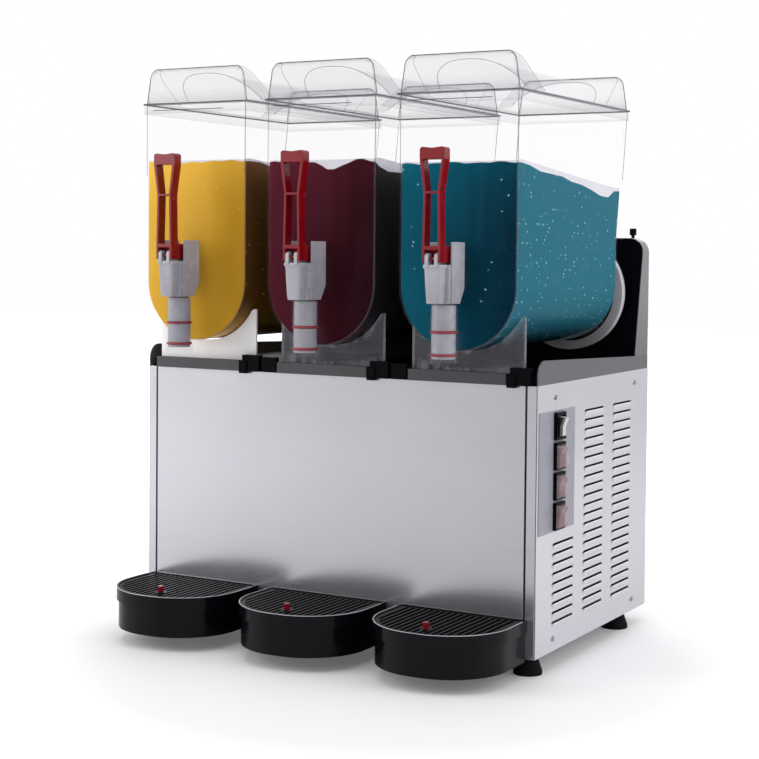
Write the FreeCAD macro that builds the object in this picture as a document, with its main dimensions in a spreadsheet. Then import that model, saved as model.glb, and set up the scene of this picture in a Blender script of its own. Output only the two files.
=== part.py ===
import FreeCAD, Part
import math
import os
import re
import Sketcher

# Countertop slush machine with three bowls. Millimetres, +Z up, +X to the right as a user
# stands in front, front faces towards -Y. The origin is on the counter, under the middle of
# the machine.

# Driving dimensions
SIZES = {
    # Body of sheet steel
    "body_width": 620,
    "body_depth": 401,
    "body_height": 352.8,
    "bay_spread": 2.5,
    "panel_wall": 1.2,
    "seam_gap": 0.3,
    "pan_wall": 1.5,
    "pan_flange": 25,
    "post_width": 12.5,
    "post_depth": 20,
    "post_wall": 1.5,
    "corner_gap": 3,
    "front_panel_return": 15,
    "front_panel_foot": 2,
    # Feet
    "foot_height": 24,
    "foot_radius": 19,
    "foot_neck_radius": 12,
    "foot_pad_height": 5,
    "foot_inset_x": 20,
    "foot_front_y": 24,
    "foot_rear_gap": 71,
    "foot_stud_radius": 4,
    "foot_stud_height": 10,
    "stud_clearance": 0.3,
    # Louvres pressed in the side and rear panels
    "louvre_length": 68,
    "louvre_slot": 3.2,
    "louvre_lip_height": 5.5,
    "louvre_lip_reach": 2.4,
    "louvre_pitch": 12.9,
    "louvre_base": 36.3,
    "louvre_first_y": 89,
    "louvre_column_pitch": 104.2,
    "louvre_short_count": 9,
    "louvre_tall_count": 22,
    "louvre_rear_gap": 10,
    # Screws of the side panels
    "screw_head_radius": 4,
    "screw_head_height": 1.8,
    "screw_shank_radius": 1.8,
    "screw_length": 8,
    "screw_front_y": 57,
    "screw_low_z": 17,
    "screw_high_z": 335,
    # Mains cable gland
    "gland_inset": 80,
    "gland_z": 60,
    "gland_reach": 11,
    "gland_radius": 11,
    "gland_bore_radius": 4.5,
    "gland_neck_radius": 8,
    "gland_neck_length": 9,
    "gland_nut_radius": 12,
    "gland_nut_height": 5,
    # Deck and its side skirts
    "deck_thickness": 5,
    "deck_front_y": 5,
    "deck_side_gap": 4,
    "skirt_wall": 2,
    "skirt_front_height": 32.5,
    "skirt_rear_height": 18.5,
    "skirt_corner_radius": 20,
    "skirt_front_y": 2,
    # Gutters and latches in front of the bowls
    "gutter_left": 83,
    "gutter_right": 60.5,
    "gutter_height": 15,
    "gutter_reach": 6,
    "gutter_wall": 2.5,
    "latch_left": 62,
    "latch_right": 74,
    "latch_drop": 3,
    "latch_block_right": 94,
    "latch_height": 23,
    "spacer_gap": 3.5,
    "spacer_height": 21,
    # Rear column with the drives
    "column_foot_depth": 55,
    "column_lean": 34,
    "column_overhang": 3,
    "column_crown": 1.8,
    "column_corner_radius": 22,
    "column_wall": 3,
    "seat_boss_radius": 79,
    "seat_gap": 3.3,
    "knob_inset": 21,
    "knob_rear_gap": 12,
    "knob_stem_radius": 2.5,
    "knob_stem_height": 4,
    "knob_head_radius": 5,
    "knob_head_height": 10,
    "knob_screw": 6,
    # Drive line of each bowl
    "drum_drop": 14.6,
    "shaft_radius": 6,
    "running_clearance": 0.06,
    "shaft_port_radius": 9,
    "shaft_tail": 14,
    "gearbox_half": 42,
    "gearbox_height": 80,
    "motor_radius": 16,
    "motor_gap": 1,
    "motor_length": 96,
    # Cooling drum and auger
    "drum_radius": 50,
    "drum_front_y": 12,
    "drum_flange_gap": 2.4,
    "drum_flange_thickness": 3,
    "drum_wall": 3,
    "drum_sleeve_radius": 10,
    "auger_inner_radius": 53,
    "auger_radius": 66.5,
    "auger_pitch": 64,
    "auger_end_gap": 8.6,
    "auger_blade": 4,
    "auger_rod_radius": 4,
    "auger_hub_radius": 14,
    "auger_hub_length": 12,
    "auger_hub_gap": 0.3,
    "auger_tail_gap": 0.3,
    # Bowl. Heights here and on the lid and the tap are measured up from the deck line.
    "bowl_half": 86,
    "bowl_wall": 3,
    "bowl_axis_height": 126.8,
    "bowl_top": 375.7,
    "bowl_front_y": -30,
    "bowl_rear_gap": 56,
    "bowl_lean": 30,
    "waist_rise": 77,
    "bowl_corner_radius": 9,
    "port_gap": 1.9,
    "collar_wall": 3.6,
    "apron_half": 82.5,
    "apron_y": 5,
    "apron_wall": 3,
    "apron_foot": 14.5,
    "apron_top": 87.2,
    "gasket_radius": 85,
    "gasket_length": 12,
    "gasket_gap": 0.3,
    # Product in the bowl
    "fill_gap": 0.3,
    "fill_front_drop": 90.5,
    "fill_low_drop": 125.5,
    "fill_low_gap": 58,
    "fill_rear_drop": 116.5,
    "auger_sweep_gap": 0.6,
    # Lid
    "lid_overhang": 3.7,
    "lid_wall": 2,
    "lid_skirt": 13,
    "lid_height": 52,
    "lid_step": 4,
    "lid_draft": 6,
    "lid_crown_radius": 17,
    "lid_crown": 10,
    "lid_slope": 69,
    "lid_ridge_half": 62,
    "lid_ridge_drop": 2.5,
    "lid_ridge_radius": 34,
    "lid_ledge": 3,
    "lid_seat_gap": 0.3,
    # Tap
    "tap_reach": 34.6,
    "tube_drop": 12.1,
    "tube_rise": 31.9,
    "tube_neck_height": 30.5,
    "tube_wall": 2.2,
    "tube_neck_wall": 1.2,
    "tube_bore_radius": 17.6,
    "duct_half": 12,
    "duct_wall": 2.5,
    "duct_drop": 3,
    "rail_half": 3,
    "rail_lift": 12,
    "rail_drop": 16,
    "piston_gap": 2.1,
    "piston_recess": 6,
    "piston_proud": 0.3,
    "piston_stem_half": 7,
    "piston_stem_margin": 4,
    "seal_section": 3.6,
    "seal_low_rise": 5,
    "seal_high_drop": 3.7,
    "seal_gap": 0.05,
    "cup_half": 12,
    "cup_front_reach": 33.4,
    "cup_gap": 0.5,
    "cup_wall": 2.4,
    "cup_lift": 2,
    "cup_height": 49.5,
    "cup_rim_height": 4.5,
    "cup_rim_reach": 2,
    "cheek_gap": 0.4,
    "cheek_wall": 2.3,
    "cheek_back_reach": 21.4,
    "cheek_rise": 28.5,
    "cheek_top_front_reach": 13.4,
    "prong_outer": 9.2,
    "prong_thickness": 5,
    "prong_radius": 5,
    "prong_height": 7,
    "pin_reach": 31.4,
    "pin_rise": 7.5,
    "lever_pin_radius": 2,
    "lever_length": 140.5,
    "lever_front_gap": 5,
    "lever_depth": 15,
    "lever_half_top": 17.5,
    "lever_half_waist": 11.4,
    "lever_half_foot": 12.8,
    "lever_waist_rise": 83,
    "lever_leg": 3.2,
    "lever_pad_height": 16,
    "lever_bar": 3,
    "lever_bridge": 5,
    "lever_notch": 2,
    "lever_corner_radius": 4,
    "lever_heel": 16,
    "lever_sole": 5,
    "lever_arm": 35,
    "cross_pin_radius": 3,
    "lever_swing": 35,
    "slot_margin": 0.7,
    # Drip tray, grille and float
    "tray_reach": 142,
    "tray_half": 92,
    "tray_nose_radius": 86,
    "tray_top": 51.4,
    "tray_band": 34,
    "tray_foot": -4,
    "tray_inset": 3,
    "tray_wall": 2.5,
    "tray_back_gap": 0.4,
    "grille_thickness": 3,
    "grille_recess": 1.2,
    "grille_gap": 0.6,
    "grille_slot": 5.4,
    "grille_slot_pitch": 9,
    "grille_slot_count": 18,
    "grille_rim": 5,
    "grille_island": 9,
    "hook_x": 55,
    "hook_half": 9,
    "hook_wall": 2,
    "hook_reach": 3.8,
    "hook_drop": 5,
    "hook_slot_gap": 1,
    "hook_top": 42,
    "tray_lift": 6,
    "float_y": -105,
    "float_radius": 3.9,
    "float_clearance": 0.5,
    "float_show": 8,
    "float_button": 26,
    "float_stem_radius": 2.8,
    "float_disc_radius": 12,
    "float_disc_height": 8,
    # Switches on the right side
    "plate_front_y": 6,
    "plate_back_y": 122,
    "plate_foot": 158.5,
    "plate_top": 317.5,
    "plate_wall": 1,
    "switch_y": 66,
    "switch_top": 297,
    "switch_pitch": 39.5,
    "switch_half_width": 15,
    "switch_half_height": 18,
    "switch_bezel": 3.2,
    "switch_reach": 5,
    "switch_body_depth": 22,
    "switch_body_gap": 0.5,
    "recess_depth": 8,
    "rocker_gap": 0.6,
    "rocker_half_height": 12,
    "rocker_crest": 9,
    "rocker_dip": 7,
    "rocker_back": 4,
    "rocker_tilt": 10,
    "rocker_pin_radius": 1.6,
    "rocker_pin_reach": 1.6,
    # Cooling plant inside the body
    "compressor_side_gap": 58,
    "compressor_rear_gap": 104,
    "compressor_radius": 82,
    "compressor_height": 170,
    "compressor_dome": 40,
    "compressor_foot_radius": 40,
    "compressor_stand": 14,
    "coil_side_gap": 35,
    "coil_half": 125,
    "coil_depth": 47,
    "coil_rear_gap": 9,
    "coil_height": 250,
    "coil_fin_pitch": 18,
    "coil_fin": 1.5,
    "coil_fin_count": 14,
    "coil_tube_radius": 5,
    "coil_rows": 4,
    "fan_radius": 105,
    "fan_gap": 27,
    "fan_height": 135,
    "fan_hub_radius": 26,
    "fan_hub_length": 22,
    "fan_blade_depth": 18,
    "fan_blade_wall": 2,
    "fan_blade_pitch": 28,
    "fan_shaft_radius": 4,
    "fan_motor_radius": 42,
    "fan_motor_length": 70,
    "fan_motor_gap": 6,
    "fan_shaft_tail": 20,
    "fan_blade_count": 5,
    "fan_stand_half": 30,
    "fan_stand_wall": 6,
}

# Lines that many pieces share, worked out from the driving dimensions
LINES = {
    "front_y": "(tray_reach - body_depth - gland_reach) / 2",
    "side_x": "body_width / 2",
    "inside_x": "side_x - panel_wall - seam_gap",
    "bay_pitch": "(body_width + bay_spread) / 3",
    "front_panel_half": "inside_x - post_width - corner_gap",
    "base_z": "foot_height",
    "deck_z": "base_z + body_height",
    "foot_rear_y": "body_depth - foot_rear_gap",
    "screw_rear_y": "body_depth - screw_front_y",
    "gland_x": "-(side_x - gland_inset)",
    "louvre_rear_x": "coil_x - 1.5 * louvre_length - louvre_rear_gap",
    "bowl_rear_y": "body_depth - bowl_rear_gap",
    "bowl_waist_y": "bowl_rear_y - bowl_lean",
    "seat_boss_y": "bowl_rear_y + seat_gap",
    "fill_low_y": "bowl_rear_y - fill_low_gap",
    "axis_height": "bowl_axis_height - drum_drop",
    "axis_z": "deck_z + axis_height",
    "port_radius": "auger_radius + port_gap",
    "collar_radius": "port_radius + collar_wall",
    "drum_flange_radius": "port_radius - drum_flange_gap",
    "auger_length": "bowl_waist_y - drum_front_y - auger_end_gap",
    "bowl_waist_height": "axis_height + waist_rise",
    "fill_front": "bowl_top - fill_front_drop",
    "fill_low": "bowl_top - fill_low_drop",
    "fill_rear": "bowl_top - fill_rear_drop",
    "column_half": "side_x - skirt_wall",
    "column_back_y": "body_depth + column_overhang",
    "column_foot_y": "column_back_y - column_foot_depth",
    "column_z": "deck_z + deck_thickness",
    "column_top_z": "axis_z + seat_boss_radius + column_crown",
    "column_height": "column_top_z - column_z",
    "knob_x": "(column_half - knob_inset)",
    "knob_y": "column_back_y - knob_rear_gap",
    "wall_back_y": "front_y + column_foot_y + column_wall",
    "wall_slope": "column_lean / column_height",
    "gearbox_y": "wall_back_y + wall_slope * (axis_z + gearbox_height / 2 - column_z) + seam_gap",
    "gearbox_back_y": "front_y + column_back_y - panel_wall - seam_gap",
    "motor_top_z": "axis_z - gearbox_height / 2",
    "motor_y": "wall_back_y + wall_slope * (motor_top_z - column_z) + motor_gap + motor_radius",
    "lid_half": "bowl_half + lid_overhang",
    "lid_front_y": "bowl_front_y - lid_overhang",
    "lid_rear_y": "bowl_rear_y + lid_overhang",
    "lid_top": "bowl_top + lid_height",
    "tap_y": "bowl_front_y - tap_reach",
    "bowl_floor": "bowl_axis_height - bowl_half",
    "tube_foot": "bowl_floor - tube_drop",
    "tube_step": "bowl_floor + tube_rise",
    "tube_top": "tube_step + tube_neck_height",
    "tube_radius": "tube_bore_radius + tube_wall",
    "tube_neck_radius": "tube_bore_radius + tube_neck_wall",
    "piston_radius": "tube_bore_radius - piston_gap",
    "piston_foot": "tube_foot + piston_recess",
    "piston_top": "tube_top + piston_proud",
    "seal_low": "piston_foot + seal_low_rise",
    "seal_high": "tube_step - seal_high_drop",
    "cup_foot": "tube_top + cup_lift",
    "cup_rim": "cup_foot + cup_height",
    "cup_front_y": "tap_y - cup_front_reach",
    "cup_step_y": "tap_y - piston_radius - cup_gap - cup_wall",
    "cheek_half": "piston_radius + cheek_gap + cheek_wall",
    "cheek_back_y": "tap_y + cheek_back_reach",
    "cheek_top": "cup_rim + cheek_rise",
    "cheek_top_front_y": "tap_y - cheek_top_front_reach",
    "rail_foot": "cup_foot + rail_lift",
    "rail_top": "cheek_top - rail_drop",
    "lever_pin_height": "cup_rim + pin_rise",
    "lever_top": "lever_pin_height + lever_length",
    "lever_waist_height": "lever_pin_height + lever_waist_rise",
    "lid_z": "deck_z + bowl_top + lid_seat_gap + lid_wall",
    "pin_z": "deck_z + lever_pin_height",
    "pin_y": "front_y + tap_y - pin_reach",
    "cross_pin_y": "pin_y + lever_arm",
    "lever_y": "pin_y - lever_front_gap",
    "leg_half": "lever_half_foot - lever_leg",
    "piston_z": "deck_z + piston_top",
    "grille_z": "base_z + tray_top - grille_recess",
    "plate_x": "side_x + plate_wall",
    "fan_z": "base_z + fan_height",
    "pan_z": "base_z + pan_wall",
    "coil_x": "side_x - coil_side_gap - coil_half",
    "coil_back_y": "body_depth - coil_rear_gap",
    "coil_front_y": "coil_back_y - coil_depth",
    "fan_y": "coil_front_y - fan_gap",
    "compressor_x": "-(side_x - compressor_side_gap - compressor_radius)",
    "compressor_y": "body_depth - compressor_rear_gap - compressor_radius",
}

WORD = re.compile(r"[a-z][a-z_]*[a-z]")

document = FreeCAD.newDocument("slush_machine")
sheet = document.addObject("Spreadsheet::Sheet", "Sizes")
for line_number, (size_name, size_value) in enumerate(SIZES.items(), start=1):
    sheet.set("A%d" % line_number, size_name)
    sheet.set("B%d" % line_number, str(size_value))
    sheet.setAlias("B%d" % line_number, size_name)
document.recompute()

Y_TO_Z = FreeCAD.Rotation(FreeCAD.Vector(1, 0, 0), -90)
X_TO_Z = FreeCAD.Rotation(FreeCAD.Vector(0, 1, 0), 90)
UPRIGHT = FreeCAD.Rotation()


def formula(text):
    """Text with each shared line written out and each size read from the sheet."""
    def swap(match):
        word = match.group(0)
        if word in LINES:
            return "(" + formula(LINES[word]) + ")"
        return "Sizes." + word if word in SIZES else word
    return WORD.sub(swap, str(text))


def value(text):
    """What a formula gives with the sheet's present sizes."""
    return float(sheet.evalExpression(formula(text)))


def bind(thing, **formulas):
    for name, text in formulas.items():
        thing.setExpression(name, formula(text))


def place(thing, x, y, z, rotation=UPRIGHT):
    """Bind a thing's corner or centre to the sheet."""
    thing.Placement = FreeCAD.Placement(FreeCAD.Vector(value(x), value(y), value(z)), rotation)
    thing.setExpression("Placement.Base.x", formula(x))
    thing.setExpression("Placement.Base.y", formula(y))
    thing.setExpression("Placement.Base.z", formula(z))
    return thing


def box(name, low, high):
    """A block between two corners, each a triple of formulas."""
    block = document.addObject("Part::Box", name)
    spans = ["(%s) - (%s)" % (top, bottom) for bottom, top in zip(low, high)]
    bind(block, Length=spans[0], Width=spans[1], Height=spans[2])
    return place(block, *low)


def rod(name, radius, length, start, rotation=UPRIGHT):
    """A cylinder from a start point, standing up unless it is turned."""
    cylinder = document.addObject("Part::Cylinder", name)
    bind(cylinder, Radius=radius, Height=length)
    return place(cylinder, *start, rotation)


def cone(name, low_radius, high_radius, length, start, rotation=UPRIGHT):
    frustum = document.addObject("Part::Cone", name)
    bind(frustum, Radius1=low_radius, Radius2=high_radius, Height=length)
    return place(frustum, *start, rotation)


def fuse(name, things):
    joined = document.addObject("Part::MultiFuse", name)
    joined.Shapes = things
    joined.Refine = True
    return joined


def cut(name, base, tool):
    rest = document.addObject("Part::Cut", name)
    rest.Base = base
    rest.Tool = tool
    rest.Refine = True
    return rest


def group(name, things):
    """Separate solids that share a name, such as a set of screws."""
    several = document.addObject("Part::Compound", name)
    several.Links = things
    return several


def shifted(name, thing, x="0", y="0", z="0", rotation=UPRIGHT):
    """The same piece again at another place."""
    again = document.addObject("Part::Compound", name)
    again.Links = [thing]
    return place(again, x, y, z, rotation)


def row_of_three(name, piece):
    """One sub-part of three solids, one in each bay."""
    return group(name, [shifted(name + "_left", piece, x="-bay_pitch"), piece,
                        shifted(name + "_right", piece, x="bay_pitch")])


def in_three_bays(name, piece):
    """The middle bay's piece and its two neighbours as three named sub-parts."""
    piece.Label = name + "_2"
    left = shifted(name + "_1", piece, x="-bay_pitch")
    right = shifted(name + "_3", piece, x="bay_pitch")
    return {name + "_1": left, name + "_2": piece, name + "_3": right}


def new_body(name):
    return document.addObject("PartDesign::Body", name)


def new_sketch(body, plane, at="0"):
    """A sketch on one of the body's own origin planes, moved along its normal."""
    sketch = body.newObject("Sketcher::SketchObject", body.Name + "_outline")
    datum = [item for item in body.Origin.OriginFeatures if item.Role == plane + "_Plane"][0]
    sketch.AttachmentSupport = [(datum, "")]
    sketch.MapMode = "FlatFace"
    offset = "-(%s)" % at if plane == "XZ" else at
    sketch.setExpression("AttachmentOffset.Base.z", formula(offset))
    return sketch


def fix_point(sketch, index, position, x, y):
    """Hold a point of the sketch at formulas x, y."""
    for kind, text in (("DistanceX", x), ("DistanceY", y)):
        number = sketch.addConstraint(
            Sketcher.Constraint(kind, -1, 1, index, position, value(text)))
        sketch.setExpression("Constraints[%d]" % number, formula(text))


def draw_circle(sketch, x, y, radius):
    centre = FreeCAD.Vector(value(x), value(y), 0)
    circle = Part.Circle(centre, FreeCAD.Vector(0, 0, 1), value(radius))
    index = sketch.addGeometry(circle, False)
    fix_point(sketch, index, 3, x, y)
    number = sketch.addConstraint(Sketcher.Constraint("Radius", index, value(radius)))
    sketch.setExpression("Constraints[%d]" % number, formula(radius))


def draw_outline(sketch, corners):
    """A closed outline. A corner is (x, y) or, where it is rounded, (x, y, radius)."""
    points = [FreeCAD.Vector(value(corner[0]), value(corner[1]), 0) for corner in corners]
    count = len(corners)
    starts, ends, arcs = list(points), list(points), {}
    for i, corner in enumerate(corners):
        if len(corner) < 3:
            continue
        before = (points[i - 1] - points[i]).normalize()
        after = (points[(i + 1) % count] - points[i]).normalize()
        half_angle = before.getAngle(after) / 2
        radius = value(corner[2])
        reach = radius / math.tan(half_angle)
        ends[i] = points[i] + before * reach
        starts[i] = points[i] + after * reach
        centre = points[i] + (before + after).normalize() * (radius / math.sin(half_angle))
        middle = centre + (points[i] - centre).normalize() * radius
        arcs[i] = (Part.Arc(ends[i], middle, starts[i]), before.cross(after).z < 0)
    lines = []
    for i in range(count):
        segment = Part.LineSegment(starts[i], ends[(i + 1) % count])
        lines.append(sketch.addGeometry(segment, False))
    for i, corner in enumerate(corners):
        into, out = lines[i - 1], lines[i]
        if i not in arcs:
            sketch.addConstraint(Sketcher.Constraint("Coincident", into, 2, out, 1))
            fix_point(sketch, out, 1, corner[0], corner[1])
            continue
        arc, turns_left = arcs[i]
        index = sketch.addGeometry(arc, False)
        first, last = (1, 2) if turns_left else (2, 1)
        peak = sketch.addGeometry(Part.Point(points[i]), True)
        fix_point(sketch, peak, 1, corner[0], corner[1])
        sketch.addConstraint(Sketcher.Constraint("PointOnObject", peak, 1, into))
        sketch.addConstraint(Sketcher.Constraint("PointOnObject", peak, 1, out))
        sketch.addConstraint(Sketcher.Constraint("Tangent", into, 2, index, first))
        sketch.addConstraint(Sketcher.Constraint("Tangent", index, last, out, 1))
        number = sketch.addConstraint(Sketcher.Constraint("Radius", index, value(corner[2])))
        sketch.setExpression("Constraints[%d]" % number, formula(corner[2]))


def draw_trough(sketch, half, axis, top):
    """A round-bottomed outline: half a circle about the axis height, with upright sides."""
    radius, middle, rim = value(half), value(axis), value(top)
    centre = FreeCAD.Vector(0, middle, 0)
    circle = Part.Circle(centre, FreeCAD.Vector(0, 0, 1), radius)
    arc = sketch.addGeometry(Part.ArcOfCircle(circle, math.pi, 2 * math.pi), False)
    fix_point(sketch, arc, 3, "0", axis)
    number = sketch.addConstraint(Sketcher.Constraint("Radius", arc, radius))
    sketch.setExpression("Constraints[%d]" % number, formula(half))
    sketch.addConstraint(Sketcher.Constraint("Horizontal", arc, 1, arc, 3))
    sketch.addConstraint(Sketcher.Constraint("Horizontal", arc, 2, arc, 3))
    corners = [FreeCAD.Vector(x, z, 0) for x, z in
               ((radius, middle), (radius, rim), (-radius, rim), (-radius, middle))]
    sides = [sketch.addGeometry(Part.LineSegment(*ends), False)
             for ends in zip(corners, corners[1:])]
    chain = [(arc, 2), (sides[0], 1), (sides[0], 2), (sides[1], 1),
             (sides[1], 2), (sides[2], 1), (sides[2], 2), (arc, 1)]
    for first, second in zip(chain[::2], chain[1::2]):
        sketch.addConstraint(Sketcher.Constraint("Coincident", *first, *second))
    fix_point(sketch, sides[0], 2, half, top)
    fix_point(sketch, sides[1], 2, "-(%s)" % half, top)


def rectangle(x_low, y_low, x_high, y_high, radius=None):
    corners = [(x_low, y_low), (x_high, y_low), (x_high, y_high), (x_low, y_high)]
    return [corner + (radius,) for corner in corners] if radius else corners


def draw(sketch, shapes):
    for shape in shapes:
        if shape[0] == "circle":
            draw_circle(sketch, *shape[1:])
        elif shape[0] == "trough":
            draw_trough(sketch, *shape[1:])
        else:
            draw_outline(sketch, shape)


def pad(body, plane, at, length, *shapes):
    """Material from the plane at a place, along the plane's positive axis."""
    sketch = new_sketch(body, plane, at)
    draw(sketch, shapes)
    feature = body.newObject("PartDesign::Pad", body.Name + "_pad")
    feature.Profile = sketch
    feature.Reversed = plane == "XZ"
    bind(feature, Length=length)
    body.Tip = feature
    return feature


def pocket(body, plane, at, length, *shapes):
    """A cut from the plane at a place, along the plane's positive axis."""
    sketch = new_sketch(body, plane, at)
    draw(sketch, shapes)
    feature = body.newObject("PartDesign::Pocket", body.Name + "_pocket")
    feature.Profile = sketch
    feature.Reversed = plane != "XZ"
    bind(feature, Length=length)
    body.Tip = feature
    return feature


def round_edges(body, radius, chosen):
    """Round the edges that the chosen test picks from the body's present shape."""
    document.recompute()
    base = body.Tip
    names = ["Edge%d" % (i + 1) for i, edge in enumerate(base.Shape.Edges) if chosen(edge)]
    feature = body.newObject("PartDesign::Fillet", body.Name + "_rounding")
    feature.Base = (base, names)
    bind(feature, Radius=radius)
    body.Tip = feature
    return feature


BAYS = ("-bay_pitch", "0", "bay_pitch")
pieces = {}


# Base pan: folded steel floor of the machine, with holes for the four foot studs
def foot_places():
    x = "side_x - foot_inset_x"
    rows = ("front_y + foot_front_y", "front_y + foot_rear_y")
    return [(sign + "(" + x + ")", y) for y in rows for sign in ("-", "")]


base_pan = new_body("base_pan")
pan_back = "front_y + body_depth - panel_wall - seam_gap"
pan_front = "front_y + panel_wall + seam_gap"
pad(base_pan, "XY", "base_z", "pan_flange",
    rectangle("-(inside_x - post_width)", pan_front, "inside_x - post_width", pan_back))
pocket(base_pan, "XY", "base_z + pan_wall", "pan_flange",
       rectangle("-(inside_x - post_width - pan_wall)", pan_front + " + pan_wall",
                 "inside_x - post_width - pan_wall", pan_back + " - pan_wall"))
pad(base_pan, "XY", "base_z", "pan_wall",
    rectangle("-inside_x", "front_y + post_depth + seam_gap", "inside_x", pan_back))
pocket(base_pan, "XY", "base_z", "pan_wall",
       *[("circle", x, y, "foot_stud_radius + stud_clearance") for x, y in foot_places()])
pieces["base_pan"] = base_pan


# Feet: black rubber cones on studs that pass through the pan
feet = []
for number, (foot_x, foot_y) in enumerate(foot_places(), start=1):
    name = "foot_%d" % number
    sole = rod(name + "_sole", "foot_radius", "foot_pad_height", (foot_x, foot_y, "0"))
    neck = cone(name + "_neck", "foot_radius", "foot_neck_radius", "foot_height - foot_pad_height",
                (foot_x, foot_y, "foot_pad_height"))
    stud = rod(name + "_stud", "foot_stud_radius", "foot_stud_height + foot_height",
               (foot_x, foot_y, "0"))
    feet.append(fuse(name, [sole, neck, stud]))
pieces["feet"] = group("feet", feet)


# Front posts: stainless channels at the two front corners
def post_outline(sign):
    outer = "%s(inside_x)" % sign
    inner = "%s(inside_x - post_width)" % sign
    outer_web = "%s(inside_x - post_wall)" % sign
    inner_web = "%s(inside_x - post_width + post_wall)" % sign
    front, web, back = "front_y", "front_y + post_wall", "front_y + post_depth"
    return [(outer, front), (outer, back), (outer_web, back), (outer_web, web),
            (inner_web, web), (inner_web, back), (inner, back), (inner, front)]


posts = []
for side, sign in (("left", "-"), ("right", "")):
    post = new_body("post_" + side)
    pad(post, "XY", "base_z", "body_height", post_outline(sign))
    posts.append(post)
pieces["front_posts"] = group("front_posts", posts)


# Front panel: one bright stainless sheet with side returns and slots for the tray hooks
front_panel = new_body("front_panel")
panel_height = "body_height - front_panel_foot"
pad(front_panel, "XY", "base_z + front_panel_foot", panel_height,
    rectangle("-front_panel_half", "front_y", "front_panel_half", "front_y + panel_wall"))
for sign in ("-", ""):
    pad(front_panel, "XY", "base_z + front_panel_foot + pan_flange", panel_height + " - pan_flange",
        rectangle("%s(front_panel_half - panel_wall)" % sign, "front_y", "%sfront_panel_half" % sign,
                  "front_y + front_panel_return"))
hook_foot = "base_z + hook_top - hook_wall - seam_gap"
for bay in BAYS:
    for side in ("-", "+"):
        centre = "%s %s hook_x" % (bay, side)
        pocket(front_panel, "XZ", "front_y", "panel_wall",
               rectangle("%s - hook_half - hook_slot_gap" % centre, hook_foot,
                         "%s + hook_half + hook_slot_gap" % centre,
                         "base_z + hook_top + tray_lift + hook_slot_gap"))
pieces["front_panel"] = front_panel


# Side panels: stainless sheets with three columns of louvres; the right one has the switches
def louvre_set(name, slot, lip, counts, x_step="0", y_step="0"):
    """Columns of slots and of the lips pressed out under them, from one slot and one lip."""
    slots, lips = [], []
    for column, count in enumerate(counts):
        for row in range(int(value(count))):
            step = {"x": "%d * (%s)" % (column, x_step), "y": "%d * (%s)" % (column, y_step),
                    "z": "%d * louvre_pitch" % row}
            tag = "%s_%d_%d" % (name, column, row)
            slots.append(shifted(tag + "_slot", slot, **step))
            lips.append(shifted(tag + "_lip", lip, **step))
    return group(name + "_slots", slots), lips


louvre_top = "base_z + louvre_base"
louvre_foot = louvre_top + " - louvre_lip_height"
for side, outer, inner, tip in (
        ("left", "-side_x", "-side_x + panel_wall", "-side_x - louvre_lip_reach"),
        ("right", "side_x", "side_x - panel_wall", "side_x + louvre_lip_reach")):
    name = "side_panel_" + side
    panel = new_body(name + "_sheet")
    low_x = inner if side == "right" else outer
    pad(panel, "YZ", low_x, "panel_wall",
        rectangle("front_y + skirt_front_y", "base_z", "front_y + body_depth", "deck_z"))
    pocket(panel, "YZ", low_x, "panel_wall",
           *[("circle", "front_y + " + y, "base_z + " + z, "screw_shank_radius")
             for y in ("screw_front_y", "screw_rear_y") for z in ("screw_low_z", "screw_high_z")])
    if side == "right":
        half_wide = "(switch_half_width - switch_bezel + switch_body_gap)"
        half_tall = "(switch_half_height - switch_bezel + switch_body_gap)"
        for step in range(4):
            middle = "base_z + switch_top - %d * switch_pitch" % step
            pocket(panel, "YZ", low_x, "panel_wall",
                   rectangle("front_y + switch_y - " + half_wide, middle + " - " + half_tall,
                             "front_y + switch_y + " + half_wide, middle + " + " + half_tall))
    first = "front_y + louvre_first_y - louvre_length / 2"
    last = "front_y + louvre_first_y + louvre_length / 2"
    slot = box(name + "_slot", (low_x, first, louvre_top),
               (low_x + " + panel_wall", last, louvre_top + " + louvre_slot"))
    lip = new_body(name + "_lip")
    pad(lip, "XZ", first, "louvre_length", [(outer, louvre_foot), (tip, louvre_top), (outer, louvre_top)])
    slots, lips = louvre_set(name, slot, lip,
                             ("louvre_short_count", "louvre_tall_count", "louvre_tall_count"),
                             y_step="louvre_column_pitch")
    pieces[name] = fuse(name, [cut(name + "_slotted", panel, slots)] + lips)


# Screws of the side panels: pan heads outside, short shanks through the sheet
screws = []
for side, sign in (("left", -1), ("right", 1)):
    outward = FreeCAD.Rotation(FreeCAD.Vector(0, 1, 0), 90 * sign)
    for y in ("screw_front_y", "screw_rear_y"):
        for z in ("screw_low_z", "screw_high_z"):
            name = "screw_%s_%s_%s" % (side, y.split("_")[1], z.split("_")[1])
            head = cone(name + "_head", "screw_head_radius", "screw_head_radius * 0.7",
                        "screw_head_height", ("%d * side_x" % sign, "front_y + " + y, "base_z + " + z),
                        outward)
            shank = rod(name + "_shank", "screw_shank_radius - stud_clearance / 6", "screw_length",
                        ("%d * (side_x - screw_length + 1)" % sign, "front_y + " + y, "base_z + " + z),
                        outward)
            screws.append(fuse(name, [head, shank]))
pieces["panel_screws"] = group("panel_screws", screws)


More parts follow.
